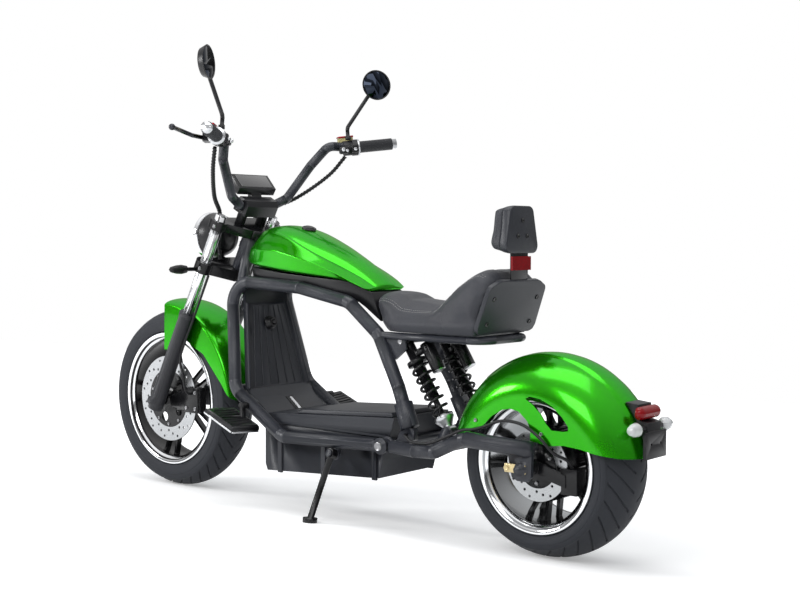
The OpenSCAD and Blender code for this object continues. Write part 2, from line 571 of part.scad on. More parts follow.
// Rear brake
disc_t = 4;
disc_room = 5;
rear_disc_y = 80;
rear_grip_x = -rear_disc_r - 16;
module disc_slot(axle, y, r) about_y(axle + [0, y - disc_t / 2 - disc_room, 0]) cylinder(h = disc_t + 2 * disc_room, r = r);
module rear_caliper() color(black) difference() {
    union() {
        difference() {
            translate([rear_grip_x - 22, rear_disc_y - 20, rear_r - 57]) cube([44, 40, 62]);
            disc_slot(rear_axle, rear_disc_y, rear_disc_r + disc_room);
        }
        // Torque arm to the axle, with its spacer
        slab(rear_disc_y + 18, rear_disc_y + 24) translate([0, rear_r]) polygon([[rear_grip_x + 8, -10],
            [rear_grip_x + 8, -40], [-10, -19], [14, -16], [18, 0], [14, 16], [-10, 18]]);
        about_y([0, rear_disc_y + 18, rear_r]) cylinder(h = arm_y - 8 - seam - rear_disc_y - 18, r = 20);
    }
    about_y(rear_axle) cylinder(h = 300, r = rear_axle_r + run_fit);
}
// Brake hose from the caliper over the swingarm to the seat post's foot
rear_route = [[-104, 84, 241.5], [-96, 94, 261], [-74, 123, 281], [-44, 132, 313], [0, 131, 338], [40, 130, 346],
    [80, 131, 343], [120, 134, 327], [150, 140, 317], [185, 144, 312], [230, 144, 292], [290, 145, 268.5],
    [345, 146, 266], [366, 144, 276], [376, 138, 280], [376, 130.4, 280]];
hose_r = 4;
module rear_hose() color(black) hose(rear_route, hose_r);

// Foot pedals on the front bends
pedal_x = head_x - 198;
pedal_z = 272;
pedal_in = loop_low_y + tube_r + 6;
pedal_w = 104;
pedal_half = 54;
module foot_pedals() color(black) pair() {
    translate([pedal_x, pedal_in, pedal_z]) rotate([5, -22, 0]) {
        difference() {
            translate([-pedal_half, 0, -11]) cube([2 * pedal_half, pedal_w, 20]);
            for (i = [0 : 6]) translate([-43 + 13 * i, 8, 4]) cube([6, pedal_w - 16, 8]);
        }
        for (s = [1, -1]) translate([s * pedal_half, 0, -1]) rotate([-90, 0, 0]) cylinder(h = pedal_w, r = 9);
    }
    // Bracket out from the tube and down to the pedal
    boss = [pedal_x, loop_low_y + tube_r + seam, loop_z(pedal_x)];
    rod(boss, boss + [0, 22, 0], 11);
    rod(boss + [0, 15, 0], [pedal_x, boss[1] + 15, pedal_z], 9);
}
function loop_z(x) = lerp(loop[1][2], loop[2][2], (x - loop[1][0]) / (loop[2][0] - loop[1][0]));

// Charging socket on the shield
port_y = 5;
port_r = 8;
shield_tilt = atan((shield[1][0] - shield[2][0]) / (shield[1][1] - shield[2][1]));
module charge_port() color(black) translate(on_shield(port_y, 0.75)) rotate([0, -90 + shield_tilt, 0]) difference() {
    translate([0, 0, seam]) union() { cylinder(h = 6, r = 20); cylinder(h = 18, r = 15); }
    translate([0, 0, seam + 3]) cylinder(h = 30, r = port_r);
}

// Fork
clamp_leg = stanchion_r + 12;
module fork_legs() color(black) {
    in_fork() for (s = [1, -1]) translate([0, s * leg_y, 0]) {
        translate([0, 0, -30]) cylinder(h = leg_len + 30, r = leg_r);
        translate([0, 0, leg_len - 12]) cylinder(h = 12, r = leg_r + 2);
    }
    rod(front_axle - [0, leg_y + leg_r + 10, 0], front_axle + [0, leg_y + leg_r + 10, 0], axle_r);
    pair() about_y(front_axle + [0, leg_y + leg_r - 4, 0]) cylinder(h = 12, r = 15, $fn = 6);
}
module fork_tubes() color(chrome) in_fork() for (s = [1, -1]) translate([0, s * leg_y, leg_len + seam])
    cylinder(h = fork_top + plate_top / 2 + 14 - leg_len, r = stanchion_r);
module clamp_plate(s, h, fwd) translate([0, 0, s - h / 2]) {
    for (k = [1, -1]) translate([0, k * leg_y, 0]) cylinder(h = h, r = clamp_leg);
    linear_extrude(h) polygon([[fwd, -leg_y], [fwd, leg_y], [-16, leg_y + 10], [-fork_offset - 20, 30],
        [-fork_offset - 20, -30], [-16, -leg_y - 10]]);
    translate([-fork_offset, 0, 0]) cylinder(h = h, r = 32);
}
clamp_fwd = 22;
module fork_clamps() color(black) in_fork() difference() {
    union() {
        clamp_plate(fork_low, plate_low, clamp_fwd);
        clamp_plate(fork_top, plate_top, clamp_fwd - 4);
        translate([-fork_offset, 0, fork_low]) cylinder(h = head_len, r = stem_r);
    }
    for (s = [1, -1]) translate([0, s * leg_y, 0]) cylinder(h = 2 * fork_top, r = stanchion_r + run_fit);
}

// Front fender between the legs, from the crown back and down
front_fender_r = front_r + front_fender_gap;
front_fender_half = leg_y - leg_r - seam;
module front_fender() color(green) difference() {
    turned(front_axle, 91, 178, shell_section(front_fender_r, front_fender_half, 20, 158));
    translate(front_axle) slab(-150, 150) polygon([[40, 158], [-26, 158], [-40, 196], [-100, 200], [-142, 174],
        [-189, 154], [-223, 118], [-269, 70], [-305, 26], [-325, 3], [-400, -40], [40, -40]]);
}

// Lights on the fork
lamp_r = 70;
lamp_len = 88;
lamp_rim = 3;
lamp_at = fork_pt(0, 0, fork_low + 104) + [48, 0, 0];
lens_r = lamp_r - 4;
lens_depth = 14;
module headlight() color(black) difference() {
    union() {
        translate(lamp_at) rotate([0, 90, 0]) rotate_extrude() polygon(concat([for (p = [[0, 0], [0.37, 0.03], [0.66, 0.13],
            [0.86, 0.31], [0.96, 0.55], [1, 0.8]]) [lamp_r * p[0], lamp_len * p[1]]], [[lamp_r + lamp_rim, lamp_len * 0.84],
            [lamp_r + lamp_rim, lamp_len], [0, lamp_len]]));
        // Bracket out from the lower clamp
        rod(fork_pt(clamp_fwd + seam, 0, fork_low), fork_pt(clamp_fwd + 42, 0, fork_low), 11);
    }
    translate(lamp_at + [lamp_len - lens_depth, 0, 0]) rotate([0, 90, 0]) cylinder(h = 2 * lens_depth, r = lens_r);
}
module headlight_lens() color(silver) translate(lamp_at + [lamp_len - lens_depth + seam, 0, 0]) rotate([0, 90, 0])
    rotate_extrude() polygon(concat([[0, 0], [lens_r - seam, 0], [lens_r - seam, 12]],
        [for (a = [75 : -15 : 0]) [(lens_r - seam) * sin(a), 12 + 12 * cos(a)]]));
module front_indicators() color(black) pair() {
    p = fork_pt(0, leg_y + clamp_leg + seam, fork_low - 10);
    rod(p, p + [0, 34, 0], 6);
    about_y(p + [0, 31, 0]) lamp_bulb(14, 72);
}

// Handlebar and what sits on it
bar_mid = fork_pt(bar_fwd, 0, bar_up);
bar_half = [for (p = [[0, 62, 0], [-18, 113, 26], [-56, 180, 129], [-100, 212, 188], [-150, 284, 186], [-212, 370, 198]])
    bar_mid + p];
grip_dir = unit(bar_half[5] - bar_half[4]);
grip_fwd = unit(cross(grip_dir, [0, 0, 1]));
bar_path = concat(rev(flip(bar_half)), bar_half);
module handlebar() color(black) bent_tube(bar_path, bar_r, 36);
module bar_clamp() color(black) difference() {
    in_fork() translate([bar_fwd, 0, bar_up]) {
        for (s = [1, -1]) translate([0, s * 42, plate_top / 2 + seam - riser]) cylinder(h = riser - plate_top / 2, r = bar_r + 1);
        slab(-62, 62) polygon([[-30, -22], [26, -22], [26, 10], [14, 26], [-18, 26], [-30, 12]]);
        // Display on its stalk
        slab(-20, 20) polygon([[4, 20], [24, 16], [40, 44], [24, 44]]);
        slab(-74, 74) polygon([[18, 30], [84, 42], [92, 58], [70, 72], [16, 52]]);
    }
    bent_tube(bar_path, bar_r + run_fit, 36);
}
module grips() color(rubber) pair() difference() {
    union() {
        rod(bar_half[4] + grip_dir * 4, bar_half[5] + grip_dir * 8, grip_r);
        rod(bar_half[4] + grip_dir * 4, bar_half[4] + grip_dir * 9, grip_r + 7);
        rod(bar_half[5] + grip_dir * 5, bar_half[5] + grip_dir * 22, grip_r - 3);
    }
    rod(bar_half[4], bar_half[5] + grip_dir * seam, bar_r + run_fit);
}
// Lever, from its pivot past the fingers to the ball end
perch = bar_half[4] - grip_dir * 26;
lever_r = 6;
lever_at = perch + grip_fwd * 40;
lever_path = [lever_at, lever_at + grip_dir * 40 + grip_fwd * 26, lever_at + grip_dir * 158 + grip_fwd * 52];
module levers() color(silver) pair() {
    bent_tube(lever_path, lever_r, 14);
    translate(lever_path[2]) sphere(lever_r + 3);
}
module bar_controls() color(black) pair() difference() {
    // Local axes: x forward, y down, z out along the grip
    along(perch, grip_dir) {
        translate([0, 0, -14]) cylinder(h = 28, r = bar_r + 9);
        translate([0, 0, 13]) cylinder(h = 16.4, r = bar_r + 11);
        translate([8, -13, -16]) cube([36, 24, 32]);
        // Brake fluid cup
        translate([12, -34, -22]) cube([30, 22, 44]);
    }
    bent_tube(bar_path, bar_r + run_fit, 36);
    bent_tube(lever_path, lever_r + seam, 14);
}
stem_foot = perch - grip_fwd * 7;
mirror_face = unit([-cos(28), -sin(28), 0.06]);
mirror_mid = perch + [-44, 82, 198];
stem = [stem_foot + [0, 0, bar_r + 10.6], stem_foot + [0, -4, 62], mirror_mid - mirror_face * 6];
module mirrors() color(black) pair() {
    bent_tube(stem, 6, 22);
    translate(stem[0]) cylinder(h = 12, r = 9);
    difference() {
        along(mirror_mid - mirror_face * 11, mirror_face) cylinder(h = 18, r1 = mirror_r - 8, r2 = mirror_r);
        along(mirror_mid + mirror_face * 4, mirror_face) cylinder(h = 10, r = mirror_r - 4);
    }
}
module mirror_glass() color(chrome) pair() along(mirror_mid + mirror_face * (4 + seam), mirror_face)
    cylinder(h = 2, r = mirror_r - 4 - seam);

// Front brake, its hose and the looms from the handlebar
front_disc_y = 60;
front_grip_x = wheelbase - front_disc_r - 24;
module front_caliper() color(black) difference() {
    union() {
        translate([front_grip_x, front_disc_y - 18, front_r - 34]) cube([64, 36, 78]);
        slab(front_disc_y + 11, front_disc_y + 17) translate([wheelbase, front_r])
            polygon([[-96, 40], [-96, -30], [-30, -22], [-22, 10]]);
    }
    disc_slot(front_axle, front_disc_y, front_disc_r + disc_room);
    in_fork() translate([0, leg_y, -60]) cylinder(h = 400, r = leg_r + seam);
}
loom_r = 7;
loom_route = [perch + [14, 4, -25], [1010, 235, 985], [1085, 165, 915], fork_pt(34, 84, 650), fork_pt(32, 62, 600),
    fork_pt(30, 45, 540), fork_pt(9, 45, 512), fork_pt(6, 45, 499.4)];
front_route = [fork_pt(-30.4, 104, 464.6), fork_pt(-30.4, 104, 440), fork_pt(-30.4, 104, 310), fork_pt(-30.4, 104, 180),
    [1308, 104, 370], [1304, 101, 332], [1304, 92, 312], [1304, 78.5, 308]];
module front_cables() color(black) {
    pair() hose(loom_route, loom_r);
    hose(front_route, hose_r, 3);
}

// Wheels
bead_depth = 10;
flange = 6;
function tyre_section(r, half, crown, lip) = let (e = half - 12, a = asin((half - 11) / crown), s = r - crown * (1 - cos(a)),
    bead = lip - bead_depth + seam,
    side = [[bead, e - seam], [lip + 0.8, e - seam], [lip + 8, half - 4], [lerp(lip, s, 0.55), half], [lerp(lip, s, 0.85), half - 3]],
    inner = [[bead, e - seam - 12], [lerp(lip, s, 0.3), e - 10], [s - 12, half - 22]])
    concat(side, [for (i = [0 : 16]) let (b = a - 2 * a * i / 16) [r - crown + crown * cos(b), crown * sin(b)]],
        [for (p = rev(side)) [p[0], -p[1]]], [for (p = inner) [p[0], -p[1]]], [[r - 16, 0]], rev(inner));
// A rim with rolled lips and a second step inside each lip
function rim_section(half, lip) = let (e = half - 12, bead = lip - bead_depth,
    side = [[bead - 9, e - 22], [bead - 14, e - 14], [bead - 14, e - 4], [bead - 6, e - 2], [bead - 3, e + flange],
        [lip - 2, e + flange], [lip, e + flange - 2], [lip, e + 1.5], [lip - 2, e], [bead, e]])
    concat(side, [for (p = rev(side)) [p[0], -p[1]]]);
module spokes(n, r0, r1, w, t) for (i = [0 : n - 1], s = [1, -1]) rotate([0, 0, 360 * i / n])
    linear_extrude(t, center = true) polygon([[r0, s * w * 0.5], [r0, s * w * 1.5], [r1, s * w * 2.9], [r1, s * w * 2.1]]);
module tyre(axle, r, half, crown, wall) about_y(axle) rotate_extrude($fn = 96) polygon(tyre_section(r, half, crown, r - wall));
module rear_tyre() color(rubber) tyre(rear_axle, rear_r, rear_half, rear_crown, rear_wall);
module front_tyre() color(rubber) tyre(front_axle, front_r, front_half, front_crown, front_wall);
rear_lip = rear_r - rear_wall;
front_lip = front_r - front_wall;
rear_hub_half = 62;
rear_hub_r = 92;
front_hub_r = 46;
rear_ring_in = rear_disc_r - 32;
front_ring_in = front_disc_r - 43;
// The hub's flange that carries a disc, lightened by round holes
module disc_carrier(y, r, n, hole) difference() {
    translate([0, 0, y - disc_t / 2]) cylinder(h = disc_t, r = r - seam);
    for (i = [0 : n - 1]) rotate([0, 0, 360 * i / n]) translate([r * 0.68, 0, y - disc_t]) cylinder(h = 2 * disc_t, r = hole);
}
module rear_rim() color(black) about_y(rear_axle) difference() {
    union() {
        rotate_extrude($fn = 96) polygon(rim_section(rear_half, rear_lip));
        translate([0, 0, -rear_hub_half - 10]) cylinder(h = 2 * rear_hub_half, r = rear_hub_r);
        translate([0, 0, -88]) cylinder(h = rear_disc_y + disc_t / 2 + 88, r = rear_ring_in - seam);
        for (y = [0, -50]) translate([0, 0, y]) spokes(5, rear_hub_r - 6, rear_lip - 12, 11, 16);
    }
    translate([0, 0, -200]) cylinder(h = 400, r = rear_axle_r + run_fit);
}
module front_rim() color(black) about_y(front_axle) difference() {
    union() {
        rotate_extrude($fn = 96) polygon(rim_section(front_half, front_lip));
        translate([0, 0, -leg_y + leg_r + 1]) cylinder(h = 2 * (leg_y - leg_r - 1), r = 20);
        translate([0, 0, -48]) cylinder(h = 48 + front_disc_y, r = front_hub_r);
        disc_carrier(front_disc_y, front_ring_in, 5, 15);
        spokes(5, front_hub_r - 8, front_lip - 12, 10, 18);
    }
    translate([0, 0, -200]) cylinder(h = 400, r = axle_r + run_fit);
}
// A disc with rows of small holes that lean across its face
module brake_disc(r, r_in, n, hole) difference() {
    cylinder(h = disc_t, r = r, center = true);
    cylinder(h = 3 * disc_t, r = r_in, center = true);
    for (i = [0 : n - 1], k = [0 : 2]) rotate([0, 0, 360 / n * (i + k / 3)]) translate([lerp(r_in, r, 0.24 + 0.26 * k), 0, 0])
        cylinder(h = 3 * disc_t, r = hole, center = true);
}
module rear_disc() color(silver) about_y(rear_axle + [0, rear_disc_y, 0]) brake_disc(rear_disc_r, rear_ring_in, 8, 3.5);
module front_disc() color(silver) about_y(front_axle + [0, front_disc_y, 0])
    brake_disc(front_disc_r, front_ring_in, 12, 4);

// Side stand, as long as the parked lean asks
function leaned(p) = [p[0], p[1] * cos(lean) + (p[2] - rear_crown) * sin(lean),
    rear_crown + (p[2] - rear_crown) * cos(lean) - p[1] * sin(lean)];
function lean_dir(v) = [v[0], v[1] * cos(lean) + v[2] * sin(lean), v[2] * cos(lean) - v[1] * sin(lean)];
module lean_back() translate([0, 0, rear_crown]) rotate([lean, 0, 0]) translate([0, 0, -rear_crown]) children();
stand_r = 9;
stand_eye = stand_pivot + (stand_boss + seam + stand_eye_w / 2) * stand_axis;
foot_t = 8;
stand_len = (leaned(stand_eye)[2] - foot_t) / -lean_dir(stand_dir)[2];
stand_foot = leaned(stand_eye + stand_len * stand_dir);
module side_stand() color(black) {
    difference() {
        union() {
            along(stand_eye - stand_eye_w / 2 * stand_axis, stand_axis) cylinder(h = stand_eye_w, r = 14);
            rod(stand_eye, stand_eye + stand_len * stand_dir, stand_r);
        }
        along(stand_eye - 2 * stand_eye_w * stand_axis, stand_axis) cylinder(h = 4 * stand_eye_w, r = pin_r + run_fit);
    }
    // The foot lies flat on the ground when the bike is parked
    lean_back() translate([stand_foot[0], stand_foot[1], 0]) cylinder(h = foot_t + 5, r = 20);
}

// The parked lean, and the origin under the middle of the outline
middle = [(wheelbase + front_r + plate_x - 5) / 2, 113.8, 0];
module parked() translate(-middle) translate([0, 0, rear_crown]) rotate([-lean, 0, 0]) translate([0, 0, -rear_crown]) children();

parked() frame_tubes();
parked() floor_panel();
parked() battery_box();
parked() battery();
parked() battery_cover();
parked() tank();
parked() tank_trim();
parked() seat();
parked() seat_panel();
parked() backrest();
parked() backrest_bracket();
parked() swingarm();
parked() shocks();
parked() shock_springs();
parked() rear_fender();
parked() red_lenses();
parked() rear_indicators();
parked() plate_bracket();
parked() rear_caliper();
parked() rear_hose();
parked() foot_pedals();
parked() charge_port();
parked() fork_legs();
parked() fork_tubes();
parked() fork_clamps();
parked() front_fender();
parked() headlight();
parked() headlight_lens();
parked() front_indicators();
parked() handlebar();
parked() bar_clamp();
parked() grips();
parked() levers();
parked() bar_controls();
parked() mirrors();
parked() mirror_glass();
parked() front_caliper();
parked() front_cables();
parked() front_tyre();
parked() front_rim();
parked() front_disc();
parked() rear_tyre();
parked() rear_rim();
parked() rear_disc();
parked() side_stand();
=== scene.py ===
# %% [markdown]
# # An electric chopper scooter
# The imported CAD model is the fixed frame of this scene. Every piece made here sits in the same
# metres, so a tyre, a seat or a screw goes where the CAD says. The scooter leans on its side stand,
# which makes numbers awkward, so the pieces are drawn on the upright scooter in millimetres and one
# matrix parks them all.

# %% Load the frame
import json
from math import asin, atan2, cos, hypot, pi, radians, sin

import bmesh
import bpy
from mathutils import Matrix, Vector
from mathutils.bvhtree import BVHTree
from mathutils.kdtree import KDTree


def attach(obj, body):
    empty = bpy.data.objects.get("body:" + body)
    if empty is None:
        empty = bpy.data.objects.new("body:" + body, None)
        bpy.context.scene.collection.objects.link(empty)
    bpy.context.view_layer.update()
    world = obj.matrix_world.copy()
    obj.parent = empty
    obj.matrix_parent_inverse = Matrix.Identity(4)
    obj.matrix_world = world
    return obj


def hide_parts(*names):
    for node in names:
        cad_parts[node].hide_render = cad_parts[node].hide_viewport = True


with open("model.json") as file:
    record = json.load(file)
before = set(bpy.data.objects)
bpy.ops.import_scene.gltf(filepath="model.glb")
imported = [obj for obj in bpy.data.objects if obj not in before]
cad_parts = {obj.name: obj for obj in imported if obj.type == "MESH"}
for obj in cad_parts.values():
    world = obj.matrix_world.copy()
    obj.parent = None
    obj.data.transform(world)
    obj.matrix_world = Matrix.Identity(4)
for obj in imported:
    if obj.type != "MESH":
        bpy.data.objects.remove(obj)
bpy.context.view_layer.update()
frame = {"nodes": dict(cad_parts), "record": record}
print("frame", len(frame["nodes"]), "nodes")

# %% [markdown]
# ## The parked lean
# On its stand the scooter leans 7 degrees to its left, and its tyres roll on their round crowns.
# Each piece could be turned by itself, but then pieces could drift apart. One matrix does it for
# all: it turns about the middle of the rear crown's arc, moves the scooter over the origin and goes
# from millimetres to metres.

# %% The parked lean
LEAN = radians(7)
REAR_R, REAR_CROWN = 236, 155
REAR_AXLE = (0, 0, REAR_R)
MIDDLE = Vector((715.5, 113.8, 0))
PARKED = (Matrix.Scale(0.001, 4) @ Matrix.Translation(Vector((0, 0, REAR_CROWN)) - MIDDLE)
          @ Matrix.Rotation(-LEAN, 4, "X") @ Matrix.Translation((0, 0, -REAR_CROWN)))
UPRIGHT = PARKED.inverted()
TURN = Matrix.Rotation(-LEAN, 3, "X")
scene = bpy.context.scene
scene.view_settings.view_transform = "Standard"
print("rear axle parked at", PARKED @ Vector(REAR_AXLE))

# %% [markdown]
# ## Camera
# The photograph shows the scooter from behind its left side. A camera could be placed by eye, but
# then no piece would line up, so this one was fitted to the outlines of both wheels. It is given
# for the upright scooter, and it leans with the scooter, because the photograph shows it level.

# %% Camera
def add_object(name, data):
    made = bpy.data.objects.new(name, data)
    scene.collection.objects.link(made)
    return made


UP = Vector((0, 0, 1))
WIDE, HIGH, FOCAL, SENSOR = 800, 600, 1260.77, 36
HEADING, DIP = radians(-49.395), radians(-2.778)
eye_at = PARKED @ Vector((-1736.3, 2621.1, 789.9))
look = TURN @ Vector((cos(HEADING) * cos(DIP), sin(HEADING) * cos(DIP), sin(DIP)))
right = look.cross(TURN @ UP).normalized()
above = right.cross(look)
camera = add_object("camera", bpy.data.cameras.new("camera"))
camera.data.sensor_width = SENSOR
camera.data.lens = FOCAL * SENSOR / WIDE
camera.matrix_world = Matrix((right, above, -look)).transposed().to_4x4()
camera.matrix_world.translation = eye_at
scene.camera = camera
print("camera lens", round(camera.data.lens, 2))

# %% [markdown]
# ## Studio
# The photograph has a white ground and soft light. A picture of a room could light the scene, but
# a few nodes do it without one. The floor and the world are white where they are seen or shine
# through glass, and the world lights the scooter at a lower level. Gloss sees walls that grow
# brighter towards the ceiling, which gives the lacquer its dark and light bands. Three soft lamps
# are the softboxes.

# %% Node helpers
def put(tree, kind, inputs=None, **attributes):
    """Adds a node, sets its attributes, and sets its inputs or links sockets to them."""
    node = tree.nodes.new(kind)
    for key, value in attributes.items():
        setattr(node, key, value)
    for key, value in (inputs or {}).items():
        if isinstance(value, bpy.types.NodeSocket):
            tree.links.new(value, node.inputs[key])
        else:
            node.inputs[key].default_value = value
    return node


def math_node(tree, operation, first, second, clamp=False):
    return put(tree, "ShaderNodeMath", {0: first, 1: second}, operation=operation,
               use_clamp=clamp).outputs[0]


def remap(tree, value, start, end, low, high):
    """Carries a value from the span start to end over to the span low to high."""
    spans = {0: value, 1: start, 2: end, 3: low, 4: high}
    return put(tree, "ShaderNodeMapRange", spans).outputs[0]


# %% World
def seen_directly(tree):
    path = put(tree, "ShaderNodeLightPath").outputs
    shiny = math_node(tree, "MAXIMUM", path["Is Glossy Ray"], path["Is Transmission Ray"])
    return math_node(tree, "MAXIMUM", path["Is Camera Ray"], shiny)


WALL_SPAN, WALL_GLOW = (0.1, 0.9), (0.22, 1.2)
WHITE, ROOM_TINT, ROOM_LIGHT = (1, 1, 1, 1), (0.93, 0.96, 1, 1), 0.5
world = scene.world or bpy.data.worlds.new("studio")
scene.world = world
world.use_nodes = True
room = world.node_tree
room.nodes.clear()
ways = put(room, "ShaderNodeLightPath").outputs
sky = put(room, "ShaderNodeTexCoord").outputs["Generated"]
height = put(room, "ShaderNodeSeparateXYZ", {0: sky}).outputs["Z"]
wall = remap(room, height, *WALL_SPAN, *WALL_GLOW)
wall_seen = put(room, "ShaderNodeMix", {0: ways["Is Glossy Ray"], 2: 1.0, 3: wall}).outputs[0]
white_room = put(room, "ShaderNodeBackground", {"Color": WHITE, "Strength": wall_seen})
room_light = put(room, "ShaderNodeBackground", {"Color": ROOM_TINT, "Strength": ROOM_LIGHT})
room_mix = put(room, "ShaderNodeMixShader",
               {0: seen_directly(room), 1: room_light.outputs[0], 2: white_room.outputs[0]})
put(room, "ShaderNodeOutputWorld", {"Surface": room_mix.outputs[0]})
print("world nodes", len(room.nodes))


# %% Floor
def mesh_of(bm, name):
    """Turns a bmesh into a mesh and frees it."""
    mesh = bpy.data.meshes.new(name)
    bm.to_mesh(mesh)
    bm.free()
    return mesh


FLOOR_SIZE, FLOOR_SPAN, FLOOR_GLOW = 30, (0.9, 3.0), (0.3, 1.0)
bm = bmesh.new()
bmesh.ops.create_grid(bm, x_segments=8, y_segments=8, size=FLOOR_SIZE)
floor = add_object("floor", mesh_of(bm, "floor"))
floor_paint = bpy.data.materials.new("white_floor")
floor_paint.use_nodes = True
tree = floor_paint.node_tree
paint = tree.nodes["Principled BSDF"]
paint.inputs["Base Color"].default_value = (0.9, 0.9, 0.9, 1)
paint.inputs["Roughness"].default_value = 0.9
paint.inputs["Specular IOR Level"].default_value = 0.1
place = put(tree, "ShaderNodeTexCoord").outputs["Object"]
reach = put(tree, "ShaderNodeVectorMath", {0: place}, operation="LENGTH").outputs["Value"]
far = remap(tree, reach, *FLOOR_SPAN, *FLOOR_GLOW)
glow = put(tree, "ShaderNodeEmission", {"Strength": far})
lit = put(tree, "ShaderNodeAddShader", {0: paint.outputs[0], 1: glow.outputs[0]})
seen = put(tree, "ShaderNodeMixShader",
           {0: seen_directly(tree), 1: paint.outputs[0], 2: lit.outputs[0]})
tree.links.new(seen.outputs[0], tree.nodes["Material Output"].inputs["Surface"])
floor.data.materials.append(floor_paint)
print("floor", 2 * FLOOR_SIZE, "m wide")


# %% Lamps
def softbox(name, at, aim, size, watts):
    lamp = bpy.data.lights.new(name, "AREA")
    lamp.shape, lamp.size, lamp.size_y, lamp.energy = "RECTANGLE", size[0], size[1], watts
    box = add_object(name, lamp)
    box.location = at
    box.rotation_euler = (Vector(aim) - Vector(at)).to_track_quat("-Z", "Y").to_euler()


softbox("top_box", at=(-0.2, 0.5, 3.0), aim=(0, 0, 0.5), size=(2.6, 1.6), watts=36)
softbox("side_box", at=(-0.9, 2.9, 1.9), aim=(0, 0, 0.5), size=(1.8, 1.2), watts=40)
softbox("front_box", at=(2.0, 2.2, 1.35), aim=(0.3, 0, 0.7), size=(0.9, 0.7), watts=40)
print("studio ready")

# %% [markdown]
# ## Shared effects
# Real finishes are never one colour. Their marks could be painted as images, but a node group needs
# no picture, is built once and takes other values in each finish: a fine grain with a slow drift of
# tone, lighter edges that are partly wear and partly painted highlight, the pebbles of leather, the
# flakes in lacquer and the rings left by a lathe.

# %% Group builder
def effect(name, outputs, **inputs):
    """Starts a node group: gives its tree, inputs, outputs and the object's coordinates."""
    group = bpy.data.node_groups.new(name, "ShaderNodeTree")
    for label, value in inputs.items():
        kind = "NodeSocketVector" if isinstance(value, tuple) else "NodeSocketFloat"
        socket = group.interface.new_socket(label, in_out="INPUT", socket_type=kind)
        socket.default_value = value
    for label in outputs:
        group.interface.new_socket(label, in_out="OUTPUT", socket_type="NodeSocketFloat")
    start, end = group.nodes.new("NodeGroupInput"), group.nodes.new("NodeGroupOutput")
    where = put(group, "ShaderNodeTexCoord").outputs["Object"]
    return group, start.outputs, end.inputs, where


def noise(tree, where, scale, detail=3.0, rough=0.55):
    inputs = {"Vector": where, "Scale": scale, "Detail": detail, "Roughness": rough}
    return put(tree, "ShaderNodeTexNoise", inputs).outputs["Fac"]


# %% Grain and lighter edges, partly wear and partly painted highlight
SLOW_PART, SPECK_PART, SPECK_SIZE = 0.88, 0.12, 260.0
grain, value, out, where = effect("fine_grain", ["Height", "Tone"], Grain=900.0, Drift=6.0)
grain.links.new(noise(grain, where, value["Grain"], 2.0), out["Height"])
slow = math_node(grain, "MULTIPLY", noise(grain, where, value["Drift"], 4.0), SLOW_PART)
speck = math_node(grain, "MULTIPLY", noise(grain, where, SPECK_SIZE, 2.0), SPECK_PART)
grain.links.new(math_node(grain, "ADD", slow, speck), out["Tone"])

# Lighter edges: partly wear, partly a painted highlight where the edges catch the light.
EDGE_FLAT, EDGE_BENT, EDGE_BREAKUP_SIZE = 0.90, 0.55, 45.0
edge_wear_and_highlight, value, out, where = effect("worn_and_lit_edges", ["Mask"], Width=0.0015)
rounded = put(edge_wear_and_highlight, "ShaderNodeBevel", {"Radius": value["Width"]}, samples=4).outputs[0]
flat = put(edge_wear_and_highlight, "ShaderNodeNewGeometry").outputs["Normal"]
bend = put(edge_wear_and_highlight, "ShaderNodeVectorMath", {0: rounded, 1: flat}, operation="DOT_PRODUCT")
edge = remap(edge_wear_and_highlight, bend.outputs["Value"], EDGE_FLAT, EDGE_BENT, 0.0, 1.0)
edge_wear_and_highlight.links.new(math_node(edge_wear_and_highlight, "MULTIPLY", edge, noise(edge_wear_and_highlight, where, EDGE_BREAKUP_SIZE), True), out["Mask"])
print("grain nodes", len(grain.nodes), "wear nodes", len(edge_wear_and_highlight.nodes))

# %% Leather, flakes and lathe rings
DOME_REACH, CREASE_SIZE, CREASE_PART, HIDE_DRIFT = 0.35, 70.0, 0.6, 9.0
pebble, value, out, where = effect("leather_pebbles", ["Height", "Tone"], Size=420.0)
cells = put(pebble, "ShaderNodeTexVoronoi", {"Vector": where, "Scale": value["Size"]},
            feature="DISTANCE_TO_EDGE")
dome = remap(pebble, cells.outputs["Distance"], 0.0, DOME_REACH, 0.0, 1.0)
crease = math_node(pebble, "MULTIPLY", noise(pebble, where, CREASE_SIZE), CREASE_PART)
pebble.links.new(math_node(pebble, "ADD", dome, crease), out["Height"])
pebble.links.new(noise(pebble, where, HIDE_DRIFT, 5.0), out["Tone"])

FLOW_SIZE = 14.0
flakes, value, out, where = effect("metal_flakes", ["Glint", "Height"], Size=1500.0)
chips = put(flakes, "ShaderNodeTexVoronoi", {"Vector": where, "Scale": value["Size"]}, feature="F1")
shade = put(flakes, "ShaderNodeSeparateColor", {0: chips.outputs["Color"]})
flakes.links.new(shade.outputs[0], out["Glint"])
flakes.links.new(noise(flakes, where, FLOW_SIZE, 1.0), out["Height"])

rings, value, out, where = effect("lathe_rings", ["Height", "Tone"], Middle=(0, 0, 0),
                                  Axis=(0, 1, 0), Pitch=900.0)
apart = put(rings, "ShaderNodeVectorMath", {0: where, 1: value["Middle"]}, operation="SUBTRACT")
around = put(rings, "ShaderNodeVectorMath", {0: apart.outputs[0], 1: value["Axis"]},
             operation="CROSS_PRODUCT")
radius = put(rings, "ShaderNodeVectorMath", {0: around.outputs[0]}, operation="LENGTH")
lines = put(rings, "ShaderNodeTexNoise", noise_dimensions="1D", inputs={
    "W": radius.outputs["Value"], "Scale": value["Pitch"], "Detail": 3.0})
for label in ("Height", "Tone"):
    rings.links.new(lines.outputs["Fac"], out[label])
print("effects", len(bpy.data.node_groups))

